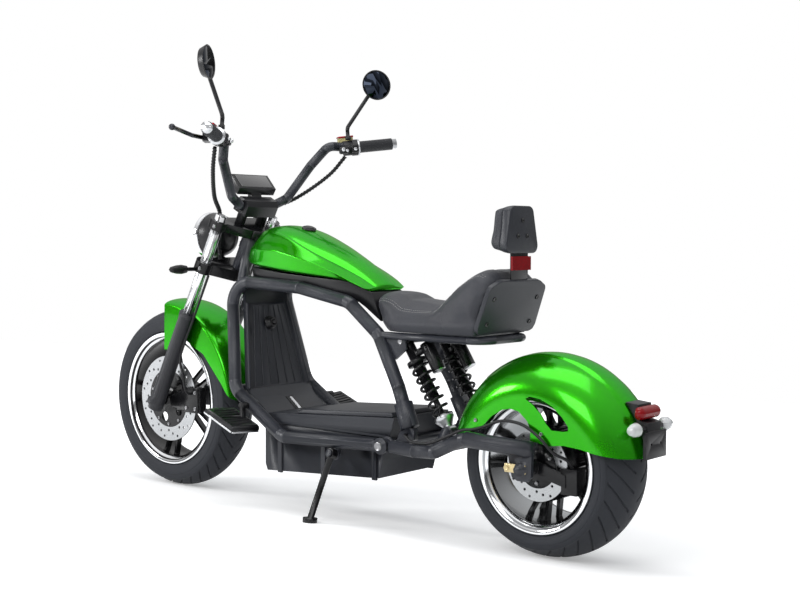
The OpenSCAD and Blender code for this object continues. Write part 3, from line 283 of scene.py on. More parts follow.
# %% [markdown]
# ## Finishes
# The scooter has coated tubes, moulded plastic, rubber, green lacquer, leather, bare metal and
# lenses. Each could be a plain colour, but then they would all look like plastic. So the groups
# drive a Principled shader's colour, its roughness and a bump, and what is the same all over the
# surface is set on the shader itself.

# %% Finish builder
FINISHES = {}
NOISE_LOW, NOISE_HIGH = 0.3, 0.7
GRAIN_BUMP = 0.16


def use(tree, group, **values):
    return put(tree, "ShaderNodeGroup", values, node_tree=group).outputs


def finish_of(name, metal=0.0, coat=0.0, coat_rough=0.04, **sockets):
    paint = bpy.data.materials.new(name)
    paint.use_nodes = True
    shader = paint.node_tree.nodes["Principled BSDF"]
    shader.inputs["Metallic"].default_value = metal
    shader.inputs["Coat Weight"].default_value = coat
    shader.inputs["Coat Roughness"].default_value = coat_rough
    for key, value in sockets.items():
        shader.inputs[key.replace("_", " ")].default_value = value
    FINISHES[name] = paint
    return paint.node_tree, shader


def blend_colour(tree, factor, dark, light):
    """Mixes two colours; 6, 7 and 2 are the Mix node's colour sockets."""
    dark, light = [(*tone, 1) if isinstance(tone, tuple) else tone for tone in (dark, light)]
    mix = put(tree, "ShaderNodeMix", data_type="RGBA", inputs={0: factor, 6: dark, 7: light})
    return mix.outputs[2]


def spread(tree, factor, low, high):
    """Stretches a noise, which keeps near its middle, over a whole span."""
    return remap(tree, factor, NOISE_LOW, NOISE_HIGH, low, high)


def toned(tree, shader, tone, dark, light, rough, rub_and_highlight=None, worn_and_lit=None):
    """Drives colour and roughness with a tone; the edge mask lays a lighter colour on edges, partly
    wear and partly painted highlight.
    """
    colour = blend_colour(tree, spread(tree, tone, 0.0, 1.0), dark, light)
    if rub_and_highlight is not None:
        colour = blend_colour(tree, rub_and_highlight, colour, worn_and_lit)
    tree.links.new(colour, shader.inputs["Base Color"])
    tree.links.new(spread(tree, tone, *rough), shader.inputs["Roughness"])


def bumped(tree, shader, height, strength, depth, under=None):
    node = put(tree, "ShaderNodeBump", {"Height": height, "Strength": strength, "Distance": depth})
    if under is not None:
        tree.links.new(under, node.inputs["Normal"])
    tree.links.new(node.outputs[0], shader.inputs["Normal"])


def coated(name, dark, light, worn_and_lit, rough, grain_size=900.0, depth=0.0002, soft_edge=0.0018,
           shine=0.42, **more):
    """A painted or moulded finish: grain, drifting tone, lighter edges (partly wear, partly painted
    highlight) and softened corners.
    """
    tree, shader = finish_of(name, Specular_IOR_Level=shine, **more)
    skin = use(tree, grain, Grain=grain_size)
    # The edge mask lays a lighter colour on edges: partly wear, partly painted highlight.
    rub_and_highlight = use(tree, edge_wear_and_highlight, Width=soft_edge)
    toned(tree, shader, skin["Tone"], dark, light, rough, rub_and_highlight["Mask"], worn_and_lit)
    corner = put(tree, "ShaderNodeBevel", {"Radius": soft_edge}, samples=4)
    bumped(tree, shader, skin["Height"], GRAIN_BUMP, depth, corner.outputs[0])


# %% [markdown]
# ## Paints, plastics and rubber
# The tubes are coated, the covers are moulded, and the tyres and grips are rubber. Each could have
# nodes of its own, but they differ only in tone, gloss and grain. So one builder makes them all
# from two close tones, the tone of a lighter edge (partly wear, partly painted highlight), a span
# of roughness and the size of the grain.

# %% Paints, plastics and rubber
# The third colour of each is the lighter edge colour: partly wear, partly painted highlight.
coated("charcoal_coat", (0.020, 0.022, 0.029), (0.026, 0.028, 0.036), (0.10, 0.105, 0.12),
       (0.34, 0.40), 1400.0, 0.00002, soft_edge=0.0005)
coated("charcoal_moulding", (0.018, 0.020, 0.026), (0.025, 0.027, 0.034), (0.06, 0.063, 0.072),
       (0.38, 0.48), 1100.0, 0.0003, shine=0.36)
coated("black_moulding", (0.006, 0.006, 0.007), (0.010, 0.010, 0.012), (0.035, 0.035, 0.04),
       (0.28, 0.42), 1000.0, shine=0.3)
coated("black_coat", (0.005, 0.005, 0.006), (0.009, 0.009, 0.010), (0.07, 0.07, 0.075),
       (0.16, 0.28), 1600.0, shine=0.3)
coated("leg_coat", (0.018, 0.019, 0.023), (0.025, 0.026, 0.031), (0.07, 0.07, 0.08),
       (0.40, 0.52), 1600.0)
coated("tyre_rubber", (0.018, 0.020, 0.025), (0.026, 0.028, 0.034), (0.045, 0.047, 0.055),
       (0.6, 0.75), 500.0, 0.0004, shine=0.3)
coated("grip_rubber", (0.020, 0.021, 0.024), (0.028, 0.029, 0.033), (0.05, 0.05, 0.055),
       (0.5, 0.65), 700.0, 0.0005)
coated("cable_jacket", (0.008, 0.008, 0.009), (0.014, 0.014, 0.016), (0.03, 0.03, 0.035),
       (0.4, 0.55), 900.0, shine=0.3)
coated("stitch_thread", (0.30, 0.30, 0.30), (0.42, 0.41, 0.40), (0.5, 0.5, 0.48),
       (0.7, 0.85), 2500.0)
coated("cup_plastic", (0.45, 0.40, 0.16), (0.58, 0.52, 0.24), (0.6, 0.55, 0.3), (0.25, 0.35), 900.0)
coated("red_anodised", (0.22, 0.006, 0.012), (0.34, 0.012, 0.02), (0.5, 0.15, 0.15),
       (0.25, 0.35), 1800.0, metal=0.5)
coated("zinc_yellow", (0.52, 0.42, 0.22), (0.66, 0.55, 0.32), (0.75, 0.68, 0.5),
       (0.28, 0.4), 1500.0, metal=0.85)
print("coats", len(FINISHES))

# %% [markdown]
# ## Green lacquer and leather
# The tank and the fenders have a green lacquer with metal flakes under a clear coat. A glossy green
# would look like plastic, so the base is nearly metal and each flake has a green of its own. The
# seat's leather is matt. Its pebbles could be modelled, but they are far below a millimetre high,
# so they are a bump.

# %% Green lacquer and leather
tree, shader = finish_of("green_lacquer", metal=0.8, coat=0.3, coat_rough=0.03,
                         Specular_Tint=(0.35, 0.95, 0.12, 1))
chip = use(tree, flakes, Size=1700.0)
drift = use(tree, grain, Drift=3.0)
candy = blend_colour(tree, chip["Glint"], (0.004, 0.23, 0.0004), (0.030, 0.42, 0.001))
tree.links.new(candy, shader.inputs["Base Color"])
tree.links.new(spread(tree, drift["Tone"], 0.22, 0.28), shader.inputs["Roughness"])
bumped(tree, shader, chip["Height"], 0.012, 0.001)

tree, shader = finish_of("seat_leather", Sheen_Weight=0.04, Sheen_Roughness=0.5,
                         Specular_IOR_Level=0.4)
hide = use(tree, pebble, Size=520.0)
toned(tree, shader, hide["Tone"], (0.015, 0.016, 0.022), (0.024, 0.026, 0.034), (0.42, 0.56))
bumped(tree, shader, hide["Height"], 0.45, 0.0004)
print("lacquer and leather made", len(FINISHES))

# %% [markdown]
# ## Metals
# Lips and discs are turned on a lathe, which leaves fine rings round the axle, while cast and
# plated metal has an even grain. A UV map could carry the rings, but the distance from the axle
# gives them without one. The axle is given parked, because the pattern lies in the parked scooter's
# metres.

# %% Metals
LEFT = Vector((0, 1, 0))
WHEELBASE, FRONT_R = 1430, 282
FRONT_AXLE = (WHEELBASE, 0, FRONT_R)
METAL_BUMP, METAL_DEPTH, DISC_PITCH = 0.2, 0.0001, 1400.0


def metal_finish(name, dark, light, rough, middle=None, pitch=900.0):
    """A bare metal, with a grain or with lathe rings round a middle."""
    tree, shader = finish_of(name, metal=1.0)
    if middle is None:
        marks = use(tree, grain, Grain=1800.0, Drift=25.0)
    else:
        marks = use(tree, rings, Middle=tuple(PARKED @ Vector(middle)), Axis=tuple(TURN @ LEFT),
                    Pitch=pitch)
    toned(tree, shader, marks["Tone"], dark, light, rough)
    bumped(tree, shader, marks["Height"], METAL_BUMP, METAL_DEPTH)


metal_finish("polished_chrome", (0.78, 0.79, 0.81), (0.88, 0.89, 0.91), (0.05, 0.10))
metal_finish("cast_silver", (0.52, 0.53, 0.55), (0.68, 0.69, 0.71), (0.25, 0.38))
for end, axle in (("rear", REAR_AXLE), ("front", FRONT_AXLE)):
    metal_finish(end + "_lip_metal", (0.74, 0.75, 0.77), (0.86, 0.87, 0.89), (0.06, 0.14), axle)
    metal_finish(end + "_disc_metal", (0.34, 0.35, 0.36), (0.50, 0.51, 0.52), (0.2, 0.36), axle,
                 DISC_PITCH)
metal_finish("barrel_metal", (0.26, 0.27, 0.28), (0.38, 0.39, 0.40), (0.10, 0.18), REAR_AXLE)
metal_finish("bolt_steel", (0.20, 0.20, 0.21), (0.30, 0.30, 0.31), (0.28, 0.42))
metal_finish("dark_metal", (0.035, 0.036, 0.040), (0.055, 0.056, 0.062), (0.25, 0.38))
# The mirror glass's near-black colour is a painted reflection: it stands in for the dark room the
# mirror reflects.
metal_finish("mirror_glass", (0.016, 0.020, 0.030), (0.022, 0.027, 0.038), (0.02, 0.05))
print("metals made", len(FINISHES))

# %% [markdown]
# ## Lenses and the display
# A lens has ribs inside that spread its lamp's light. They could be modelled, but they lie under a
# smooth face, so a wave in the bump stands for them. Only the clear lens lets light through: the
# red one and the display are dark while they are off.

# %% Lenses and the display
RIB_SCALE, RIB_BUMP, RIB_DEPTH = 55.0, 0.25, 0.001


def lens_finish(name, dark, light, through, rough=0.06, coat=1.0, **more):
    tree, shader = finish_of(name, coat=coat, Transmission_Weight=through, **more)
    skin = use(tree, grain, Grain=300.0, Drift=40.0)
    tree.links.new(blend_colour(tree, skin["Tone"], dark, light), shader.inputs["Base Color"])
    tree.links.new(spread(tree, skin["Tone"], rough, rough + 0.05), shader.inputs["Roughness"])
    where = put(tree, "ShaderNodeTexCoord").outputs["Object"]
    ribs = put(tree, "ShaderNodeTexWave", {"Vector": where, "Scale": RIB_SCALE},
               bands_direction="Y")
    bumped(tree, shader, ribs.outputs["Fac"], RIB_BUMP, RIB_DEPTH)


lens_finish("red_lens", (0.17, 0.0004, 0.002), (0.28, 0.001, 0.005), 0.0, 0.16, coat=0.1,
            Specular_IOR_Level=0.2)
lens_finish("clear_lens", (0.70, 0.71, 0.73), (0.86, 0.87, 0.88), 0.35)
lens_finish("display_glass", (0.006, 0.006, 0.008), (0.012, 0.012, 0.014), 0.0, 0.04)
print("finishes", len(FINISHES))

# %% [markdown]
# ## Smooth copies of the solids
# The CAD meshes are loose triangles, so they look faceted. They could be modelled again, but their
# shapes are right already. A copy with its points merged can be shaded smooth, with sharp edges
# kept by angle, and it can carry more than one finish. The copy stands for the node and stays where
# it is.

# %% Copy helpers
SLOT_OF = {row["node"]: row["material_slot"] for row in frame["record"]["subparts"]}
BODIES = frame["record"]["behaviour"]["bodies"]
BODY_OF = {node: body for body, nodes in BODIES.items() for node in nodes}
FACES_DOWN = -0.35
print("nodes", len(SLOT_OF), "on bodies", len(BODIES))


def solid(node):
    """A merged copy of a CAD node, on the upright scooter in millimetres."""
    bm = bmesh.new()
    bm.from_mesh(frame["nodes"][node].data)
    bmesh.ops.transform(bm, matrix=UPRIGHT, verts=bm.verts)
    bmesh.ops.remove_doubles(bm, verts=bm.verts, dist=0.02)
    return bm


def piece(bm, name, body, slot, *finishes, smooth=35, recalc=True):
    """Parks a mesh drawn on the upright scooter, shades it and rides it on a body."""
    if recalc:
        bmesh.ops.remove_doubles(bm, verts=bm.verts, dist=0.005)
        bmesh.ops.recalc_face_normals(bm, faces=bm.faces)
    bmesh.ops.transform(bm, matrix=PARKED, verts=bm.verts)
    mesh = mesh_of(bm, name)
    for finish in finishes:
        mesh.materials.append(FINISHES[finish])
    mesh.shade_smooth()
    mesh.set_sharp_from_angle(angle=radians(smooth))
    made = add_object(name, mesh)
    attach(made, body)
    return made


def points_of(geom):
    return [v for v in geom if isinstance(v, bmesh.types.BMVert)]


def bevel(bm, geom, width, segments=2, affect="EDGES"):
    """Rounds edges or corner points."""
    return bmesh.ops.bevel(bm, geom=list(geom), offset=width, offset_type="OFFSET",
                           segments=segments, profile=0.5, affect=affect, clamp_overlap=True,
                           material=-1)


def soften(bm, width, angle=28):
    """Joins coplanar triangles and rounds the sharp edges between what is left."""
    bmesh.ops.dissolve_limit(bm, angle_limit=radians(1), verts=bm.verts, edges=bm.edges)
    limit = radians(angle)
    inner = [e for e in bm.edges if len(e.link_faces) == 2]
    bevel(bm, [e for e in inner if e.calc_face_angle(0) > limit], width)


def dress(node, *finishes, pick=None, smooth=32, quads=False, levels=0, round_off=0, skirt=0):
    """Replaces a node with its smooth copy.

    pick gives a face's finish from its middle and normal; skirt lowers what faces down.
    """
    bm = solid(node)
    bm.normal_update()
    for vertex in [v for v in bm.verts if skirt and v.normal.z < FACES_DOWN]:
        vertex.co.z -= skirt
    if round_off:
        soften(bm, round_off)
    if quads:
        bmesh.ops.join_triangles(bm, faces=bm.faces, angle_face_threshold=radians(30),
                                 angle_shape_threshold=radians(60))
    if pick:
        for face in bm.faces:
            face.material_index = int(pick(face.calc_center_median(), face.normal))
    body, slot = BODY_OF[node], SLOT_OF[node]
    copy = piece(bm, node + "_skin", body, slot, *finishes, smooth=smooth, recalc=False)
    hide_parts(node)
    if levels:
        rounding = copy.modifiers.new("rounding", "SUBSURF")
        rounding.levels = rounding.render_levels = levels


# %% [markdown]
# ## Painted steel, mouldings and metal parts
# Most parts are of one material and only need their smooth copy and a finish, so a table names them
# all. Cast and moulded ones also get round edges. The tank's trim reaches lower than its solid, to
# close the slit above the frame's loop.

# %% Plain parts
PLAIN = {
    "charcoal_coat": ["frame_tubes", "swingarm", "handlebar"],
    "charcoal_moulding": ["floor_panel", "battery_cover", "battery_box"],
    "black_moulding": ["plate_bracket", "charge_port", "front_indicators", "foot_pedals", "mirrors",
                       "battery", "bar_clamp"],
    "black_coat": ["backrest_bracket", "shock_springs", "side_stand", "fork_clamps",
                   "rear_caliper", "front_caliper"],
    "leg_coat": ["fork_legs"],
    "polished_chrome": ["fork_tubes"],
    "dark_metal": ["levers"],
    "green_lacquer": ["front_fender", "rear_fender"],
    "red_lens": ["red_lenses"],
    "clear_lens": ["headlight_lens", "rear_indicators"],
    "mirror_glass": ["mirror_glass"],
    "front_disc_metal": ["front_disc"],
    "rear_disc_metal": ["rear_disc"],
}
ROUND_OFF = {"battery_cover": 2.5, "battery_box": 2.0, "plate_bracket": 1.2, "bar_clamp": 5,
             "front_caliper": 5, "rear_caliper": 5, "backrest_bracket": 0.8}
SMOOTH = {"shock_springs": 60, "floor_panel": 22}
for finish, nodes in PLAIN.items():
    for node in nodes:
        dress(node, finish, smooth=SMOOTH.get(node, 32), round_off=ROUND_OFF.get(node, 0))
dress("tank_trim", "black_moulding", round_off=1.0, skirt=14)
print("plain parts", sum(len(nodes) for nodes in PLAIN.values()))

# %% [markdown]
# ## Parts with two finishes
# A rim is cast, painted black and then turned bright at its lip, and the rear one has a bright
# barrel. The shocks stand in cast silver and the headlight has a bright rim. Each could be cut in
# two pieces, but a function that picks a face's finish from its place needs no new mesh.

# %% Rims with polished lips
REAR_HALF, REAR_LIP, FRONT_HALF, FRONT_LIP = 103, 168, 68, 211
RIM_IN, LIP_BAND, BARREL_BAND, FACES_IN = 12, 3.2, 40, 0.6


def lip_pick(axle, lip, half, bright_barrel):
    """Finish 1 on the lip and its step, 2 on a bright barrel, 0 elsewhere."""
    bead, edge = lip - 10, half - RIM_IN

    def pick(mid, normal):
        r = hypot(mid.x - axle[0], mid.z - axle[2])
        step = bead - 14.5 < r < bead - 7 and edge - 6 < abs(mid.y) < edge
        inward = -(normal.x * (mid.x - axle[0]) + normal.z * (mid.z - axle[2])) / r
        if r > bead - LIP_BAND or step:
            return 1
        return 2 if bright_barrel and r > bead - BARREL_BAND and inward > FACES_IN else 0
    return pick


dress("rear_rim", "black_coat", "rear_lip_metal", "barrel_metal",
      pick=lip_pick(REAR_AXLE, REAR_LIP, REAR_HALF, True))
dress("front_rim", "black_coat", "front_lip_metal",
      pick=lip_pick(FRONT_AXLE, FRONT_LIP, FRONT_HALF, False))
print("rims with lips at", REAR_LIP, FRONT_LIP)


# %% Shocks and headlight
def to_left(p):
    """The point or its twin, whichever lies on the left."""
    return Vector((p.x, abs(p.y), p.z))


PIVOT_X = 440
SHOCK_LOW, SHOCK_TOP = Vector((275, 75, 294)), Vector((PIVOT_X - 18, 75, 519))
SHOCK_FOOT, SPRING_R, SPRING_SEAT = 40, 28, 160
shock_dir = (SHOCK_TOP - SHOCK_LOW).normalized()


def shock_pick(mid, normal):
    from_low = to_left(mid) - SHOCK_LOW
    up = from_low.dot(shock_dir)
    away = (from_low - up * shock_dir).length
    return up < SHOCK_FOOT or (away > SPRING_R and up < SPRING_SEAT)


dress("shocks", "black_coat", "cast_silver", pick=shock_pick)
LAMP_X, LAMP_LONG, LAMP_RIM = 1203, 88, 0.82
dress("headlight", "black_moulding", "polished_chrome",
      pick=lambda mid, normal: mid.x > LAMP_X + LAMP_LONG * LAMP_RIM)
print("shock length", round((SHOCK_TOP - SHOCK_LOW).length), "mm")

# %% [markdown]
# ## Grips, controls and tank
# A grip is rubber with metal ends, and a brake control carries a cup of yellowed plastic for its
# fluid. Their faces are picked along the grip, and in axes that stand on the control's perch. The
# tank's solid is coarse. A finer one could replace it, but a Subdivision Surface rounds it evenly
# once its triangles are joined to quads.

# %% Grips, controls and tank
BAR_MID = Vector((1085.1, 0, 888.0))
GRIP_IN, GRIP_OUT = BAR_MID + Vector((-150, 284, 186)), BAR_MID + Vector((-212, 370, 198))
COLLAR_LONG, CAP_GAP, PERCH_IN = 9.5, 8.2, 26
CUP_TOP, CUP_X, CUP_HALF = -14, (11.5, 42.5), 22.5
grip_dir = (GRIP_OUT - GRIP_IN).normalized()
grip_long = (GRIP_OUT - GRIP_IN).length


def axes_at(at, up, side):
    """A matrix whose z runs along up and whose x lies as near side as it can."""
    z = Vector(up).normalized()
    x = (Vector(side) - z * z.dot(Vector(side))).normalized()
    turn = Matrix((x, z.cross(x), z)).transposed().to_4x4()
    turn.translation = at
    return turn


PERCH = GRIP_IN - grip_dir * PERCH_IN
perch_axes = axes_at(PERCH, grip_dir, grip_dir.cross(UP))
to_perch = perch_axes.inverted()


def grip_pick(mid, normal):
    along = (to_left(mid) - GRIP_IN).dot(grip_dir)
    return along < COLLAR_LONG or along > grip_long + CAP_GAP


def cup_pick(mid, normal):
    here = to_perch @ to_left(mid)
    return here.y < CUP_TOP and CUP_X[0] < here.x < CUP_X[1] and abs(here.z) < CUP_HALF


dress("grips", "grip_rubber", "cast_silver", pick=grip_pick)
dress("bar_controls", "black_moulding", "cup_plastic", pick=cup_pick, smooth=25)
dress("tank", "green_lacquer", quads=True, levels=2, smooth=40)
print("shaded parts done")

# %% [markdown]
# ## Tyres
# A tyre's grooves are moulded into it. They could be a bump in the rubber, but they show at the
# tyre's edge, so they are cut. A section is spun round the axle, every sixth row of faces is inset
# and pushed in, and then the whole tyre is twisted more the further it is from its middle, which
# sweeps the grooves back.

# %% Tyres
FRONT_CROWN = 90
GROOVE_EVERY, GROOVE_IN, GROOVE_DEEP, PLAIN_MIDDLE = 6, 2.3, 3.5, 0.1


def tyre(end, axle, r, half, crown, lip, steps, bands, sweep):
    edge, reach = half - RIM_IN, asin((half - 11) / crown)
    shoulder = r - crown * (1 - cos(reach))
    bead = lip - 9.7

    def flank(share):
        return lip + (shoulder - lip) * share

    side = [(bead, edge - 0.3), (lip + 0.8, edge - 0.3), (lip + 4, half - 6.5),
            (lip + 7, half - 4.6), (lip + 9, half - 4.4), (lip + 10, half - 3.4),
            (flank(0.42), half - 0.6), (flank(0.55), half), (flank(0.62), half - 0.1),
            (flank(0.66), half - 1.4), (flank(0.7), half - 1.3), (flank(0.85), half - 3),
            (flank(0.95), half - 6)]
    arc = [reach - 2 * reach * i / bands for i in range(bands + 1)]
    inner = [(bead, edge - 12.3), (flank(0.3), edge - 10), (shoulder - 12, half - 22)]
    section = side + [(r - crown + crown * cos(b), crown * sin(b)) for b in arc]
    section += [(p, -q) for p, q in reversed(side)] + [(p, -q) for p, q in inner]
    section += [(r - 16, 0)] + inner[::-1]
    bm = bmesh.new()
    ring = [bm.verts.new((axle[0] + p, q, axle[2])) for p, q in section]
    loop = [bm.edges.new((a, b)) for a, b in zip(ring, ring[1:] + ring[:1])]
    bmesh.ops.spin(bm, geom=ring + loop, cent=axle, axis=(0, 1, 0), angle=2 * pi,
                   steps=steps, use_merge=True)
    bmesh.ops.recalc_face_normals(bm, faces=bm.faces)
    pits = []
    for face in bm.faces:
        mid = face.calc_center_median()
        off = Vector((mid.x - axle[0], 0, mid.z - axle[2]))
        outward = face.normal.dot(off) >= 0.3 * off.length
        if off.length < shoulder - 1 or abs(mid.y) > edge or not outward:
            continue
        turn = round(atan2(off.z, off.x) / (2 * pi) * steps - 0.5)
        first = 0 if mid.y > 0 else GROOVE_EVERY // 2
        if turn % GROOVE_EVERY == first and abs(mid.y) > half * PLAIN_MIDDLE:
            pits.append(face)
    bmesh.ops.inset_region(bm, faces=pits, thickness=GROOVE_IN, depth=-GROOVE_DEEP,
                           use_boundary=True, use_even_offset=True)
    for vertex in bm.verts:
        swept = Matrix.Rotation(sweep * (abs(vertex.co.y) / half) ** 1.4, 3, "Y")
        vertex.co = Vector(axle) + swept @ (vertex.co - Vector(axle))
    node = end + "_tyre"
    made = piece(bm, node + "_tread", end + "_wheel", SLOT_OF[node], "tyre_rubber", smooth=28,
                 recalc=False)
    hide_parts(node)
    print(node, "pits", len(pits), "faces", len(made.data.polygons))


tyre("rear", REAR_AXLE, REAR_R, REAR_HALF, REAR_CROWN, REAR_LIP, steps=180, bands=18, sweep=0.42)
tyre("front", FRONT_AXLE, FRONT_R, FRONT_HALF, FRONT_CROWN, FRONT_LIP, steps=216, bands=14,
     sweep=0.30)

# %% [markdown]
# ## Seat
# The seat is a foam pad under a sewn cover. A subdivided solid would be round, but too even, so
# cloth pressure fills it as foam fills a cover. Its hump is lowered first, as the photograph shows
# it. The solid is then remeshed, shrunk a little and swollen, with its hard base pinned, and the
# seams press a channel into it.

# %% Padding
PRESSURE, SWELL_FRAMES = 4.0, 20
EASE_ROUNDS, EASE = 4, 0.4


def swollen(bm, name, voxel, shrink, cap, held):
    """Remeshes a solid, swells it by cloth pressure and gives it back on the upright scooter."""
    bmesh.ops.transform(bm, matrix=PARKED, verts=bm.verts)
    pad = add_object(name, mesh_of(bm, name))
    remesh = pad.modifiers.new("remesh", "REMESH")
    remesh.mode, remesh.voxel_size = "VOXEL", voxel
    graph = bpy.context.evaluated_depsgraph_get()
    fine = bpy.data.meshes.new_from_object(pad.evaluated_get(graph))
    pad.modifiers.clear()
    pad.data = fine
    fixed = [held(UPRIGHT @ v.co) for v in fine.vertices]
    pins = pad.vertex_groups.new(name="pins")
    pins.add([index for index, hold in enumerate(fixed) if hold], 1.0, "REPLACE")
    shrunk = [v.co - v.normal * (0 if hold else shrink) for v, hold in zip(fine.vertices, fixed)]
    for vertex, place in zip(fine.vertices, shrunk):
        vertex.co = place
    cloth = pad.modifiers.new("swell", "CLOTH")
    cloth.settings.use_pressure = True
    cloth.settings.uniform_pressure_force = PRESSURE
    cloth.settings.vertex_group_mass = "pins"
    cloth.settings.effector_weights.gravity = 0.0
    cloth.point_cache.frame_end = SWELL_FRAMES
    for step in range(1, SWELL_FRAMES + 1):
        scene.frame_set(step)
    graph = bpy.context.evaluated_depsgraph_get()
    swelled = [v.co.copy() for v in pad.evaluated_get(graph).data.vertices]
    pad.modifiers.clear()
    scene.frame_set(1)
    for vertex, place, first in zip(fine.vertices, swelled, shrunk):
        move = place - first
        vertex.co = first + move * min(1.0, cap / max(move.length, 1e-9))
    bm = bmesh.new()
    bm.from_mesh(fine)
    bpy.data.objects.remove(pad)
    for _ in range(EASE_ROUNDS):
        bmesh.ops.smooth_vert(bm, verts=bm.verts, factor=EASE, use_axis_x=True, use_axis_y=True,
                              use_axis_z=True)
    bmesh.ops.transform(bm, matrix=UPRIGHT, verts=bm.verts)
    return bm


def channel(bm, points, width, depth):
    """Presses a sewn channel along a line of points."""
    tree = KDTree(len(points))
    for index, point in enumerate(points):
        tree.insert(point, index)
    tree.balance()
    bm.normal_update()
    for vertex in bm.verts:
        gap = tree.find(vertex.co)[2]
        if gap < width:
            vertex.co -= vertex.normal * depth * (1 - gap / width) ** 2


def dense(points, gap=3.0):
    """Points along a smooth line through the given ones, a small gap apart."""
    line = []
    ends = [points[0] * 2 - points[1]] + list(points) + [points[-1] * 2 - points[-2]]
    for a, b, c, d in zip(ends, ends[1:], ends[2:], ends[3:]):
        count = max(2, round((c - b).length / gap))
        for i in range(count):
            t = i / count
            line.append(0.5 * (2 * b + (c - a) * t + (2 * a - 5 * b + 4 * c - d) * t * t
                               + (3 * b - a - 3 * c + d) * t ** 3))
    return line + [points[-1]]


def flipped(p):
    """The same point on the scooter's other side."""
    return Vector((p.x, -p.y, p.z))


def both(points):
    """A line and its twin on the other side, as one line."""
    return points + [flipped(p) for p in reversed(points)]


# %% Seat cover
def unit(value):
    """The value held between 0 and 1."""
    return max(0.0, min(1.0, value))


# Sections from nose to tail: x at the foot, x at the top, height and half width.
SEAT = [(44, 108, 91, 78), (40, 96, 99, 88), (30, 70, 103, 98), (15, 40, 100, 106),
        (0, 17, 95, 112), (-16, -8, 83, 116), (-42, -42, 80, 118), (-87, -87, 86, 120),
        (-128, -131, 102, 122), (-150, -157, 131, 122), (-178, -196, 161, 122),
        (-205, -238, 174, 122), (-235, -275, 178, 121), (-254, -302, 169, 120)]
SEAT_LOW, STEP, BASE_HIGH, FILL = 543.3, 9, 30, 0.8
DIP_X, DIP_REACH, DIP_DEEP, DIP_FADE = PIVOT_X - 165, 100, 34, 70
EDGE_DROP, EDGE_SHARE, SEAM_WIDE, SEAM_DEEP = 15, 0.83, 9.0, 2.2


def on_seat(row, drop, share):
    """A point of a seat section: how far below its top, and the share of its half width."""
    low, top, high, half = row
    height = high - drop
    return Vector((PIVOT_X + low + (top - low) * height / high, half * share, SEAT_LOW + height))


seat_solid = solid("seat")
for vertex in seat_solid.verts:
    near = max(0.0, 1 - ((vertex.co.x - DIP_X) / DIP_REACH) ** 2)
    vertex.co.z -= DIP_DEEP * near * unit((vertex.co.z - SEAT_LOW - BASE_HIGH) / DIP_FADE)
seat_bm = swollen(seat_solid, "seat_start", voxel=0.005, shrink=0.0025, cap=0.006,
                  held=lambda p: p.z < SEAT_LOW + BASE_HIGH)
edge_seam = [on_seat(row, EDGE_DROP, EDGE_SHARE) for row in SEAT]
rise_seam = [edge_seam[STEP]] + [on_seat(SEAT[STEP], 6, share) for share in (0.6, 0.3)]
flank_seam = [on_seat(SEAT[STEP], 18, 0.87), on_seat(SEAT[STEP], 50, 1.0),
              Vector((PIVOT_X - 165, 125, SEAT_LOW + 40)),
              Vector((PIVOT_X - 182, 122, SEAT_LOW + 8))]
skin = BVHTree.FromBMesh(seat_bm)
seams = [both(edge_seam[::-1]), both(rise_seam), flank_seam, [flipped(p) for p in flank_seam]]
seam_lines = [[skin.find_nearest(p)[0] for p in dense(seam)] for seam in seams]
for line in seam_lines:
    channel(seat_bm, line, SEAM_WIDE, SEAM_DEEP)
skin = BVHTree.FromBMesh(seat_bm)
seat_cover = piece(seat_bm, "seat_cover", "frame", "seat_cover", "seat_leather", smooth=80,
                   recalc=False)
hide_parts("seat")
print("seat faces", len(seat_cover.data.polygons))

# %% [markdown]
# ## Stitches
# A row of thread runs on each side of the two main seams. It could be drawn in the leather, but
# real thread stands up and catches the light, so each stitch is a bead. There are hundreds, so a
# bead has only 24 faces.

# %% Stitches
STITCH_SIDES, STITCH_RINGS, STITCH_ASIDE = 6, 4, 4.0


def stitches(bm, line, skin, aside, spacing=6.0, long=4.2, thick=0.9):
    """Thread stitches beside a seam: small long beads that lie on the cover."""
    gone = 0.0
    for a, b in zip(line, line[1:]):
        gone += (b - a).length
        if gone < spacing:
            continue
        gone = 0.0
        ahead = (b - a).normalized()
        at, normal = skin.find_nearest((a + b) / 2)[:2]
        across = normal.cross(ahead).normalized()
        at, normal = skin.find_nearest(at + across * aside)[:2]
        across = normal.cross(ahead).normalized()
        turn = Matrix((ahead, across, ahead.cross(across))).transposed().to_4x4()
        turn.translation = at
        bmesh.ops.create_uvsphere(bm, u_segments=STITCH_SIDES, v_segments=STITCH_RINGS, radius=1.0,
                                  matrix=turn @ Matrix.Diagonal((long / 2, thick, thick, 1)))


bm = bmesh.new()
for line in seam_lines[:2]:
    for aside in (-STITCH_ASIDE, STITCH_ASIDE):
        stitches(bm, line, skin, aside)
thread = piece(bm, "seat_stitches", "frame", "seat_cover", "stitch_thread", smooth=80)
print("stitches", len(thread.data.polygons) // (STITCH_SIDES * STITCH_RINGS))

# %% [markdown]
# ## Backrest
# The backrest is a moulded shell behind and a padded front. One mesh with two finishes could do,
# but only the front is soft. So the upper front is made wider and fuller, the solid is cut in two,
# the rear gets round edges, and the front swells as the seat does.

# %% Backrest
CUT_X, REST_X, HELD_DEEP = 126, 103, 4
FULL_WIDE, FULL_AHEAD, FULL_MARGIN = 0.36, 18, 20
FRONT_DEEP, FRONT_TAPER = 59, 22


def cut(bm, keep_front):
    bmesh.ops.bisect_plane(bm, geom=bm.verts[:] + bm.edges[:] + bm.faces[:],
                           plane_co=(CUT_X, 0, 0), plane_no=(1, 0, 0), clear_inner=keep_front,
                           clear_outer=not keep_front)
    bmesh.ops.holes_fill(bm, edges=[e for e in bm.edges if e.is_boundary], sides=0)
    return bm


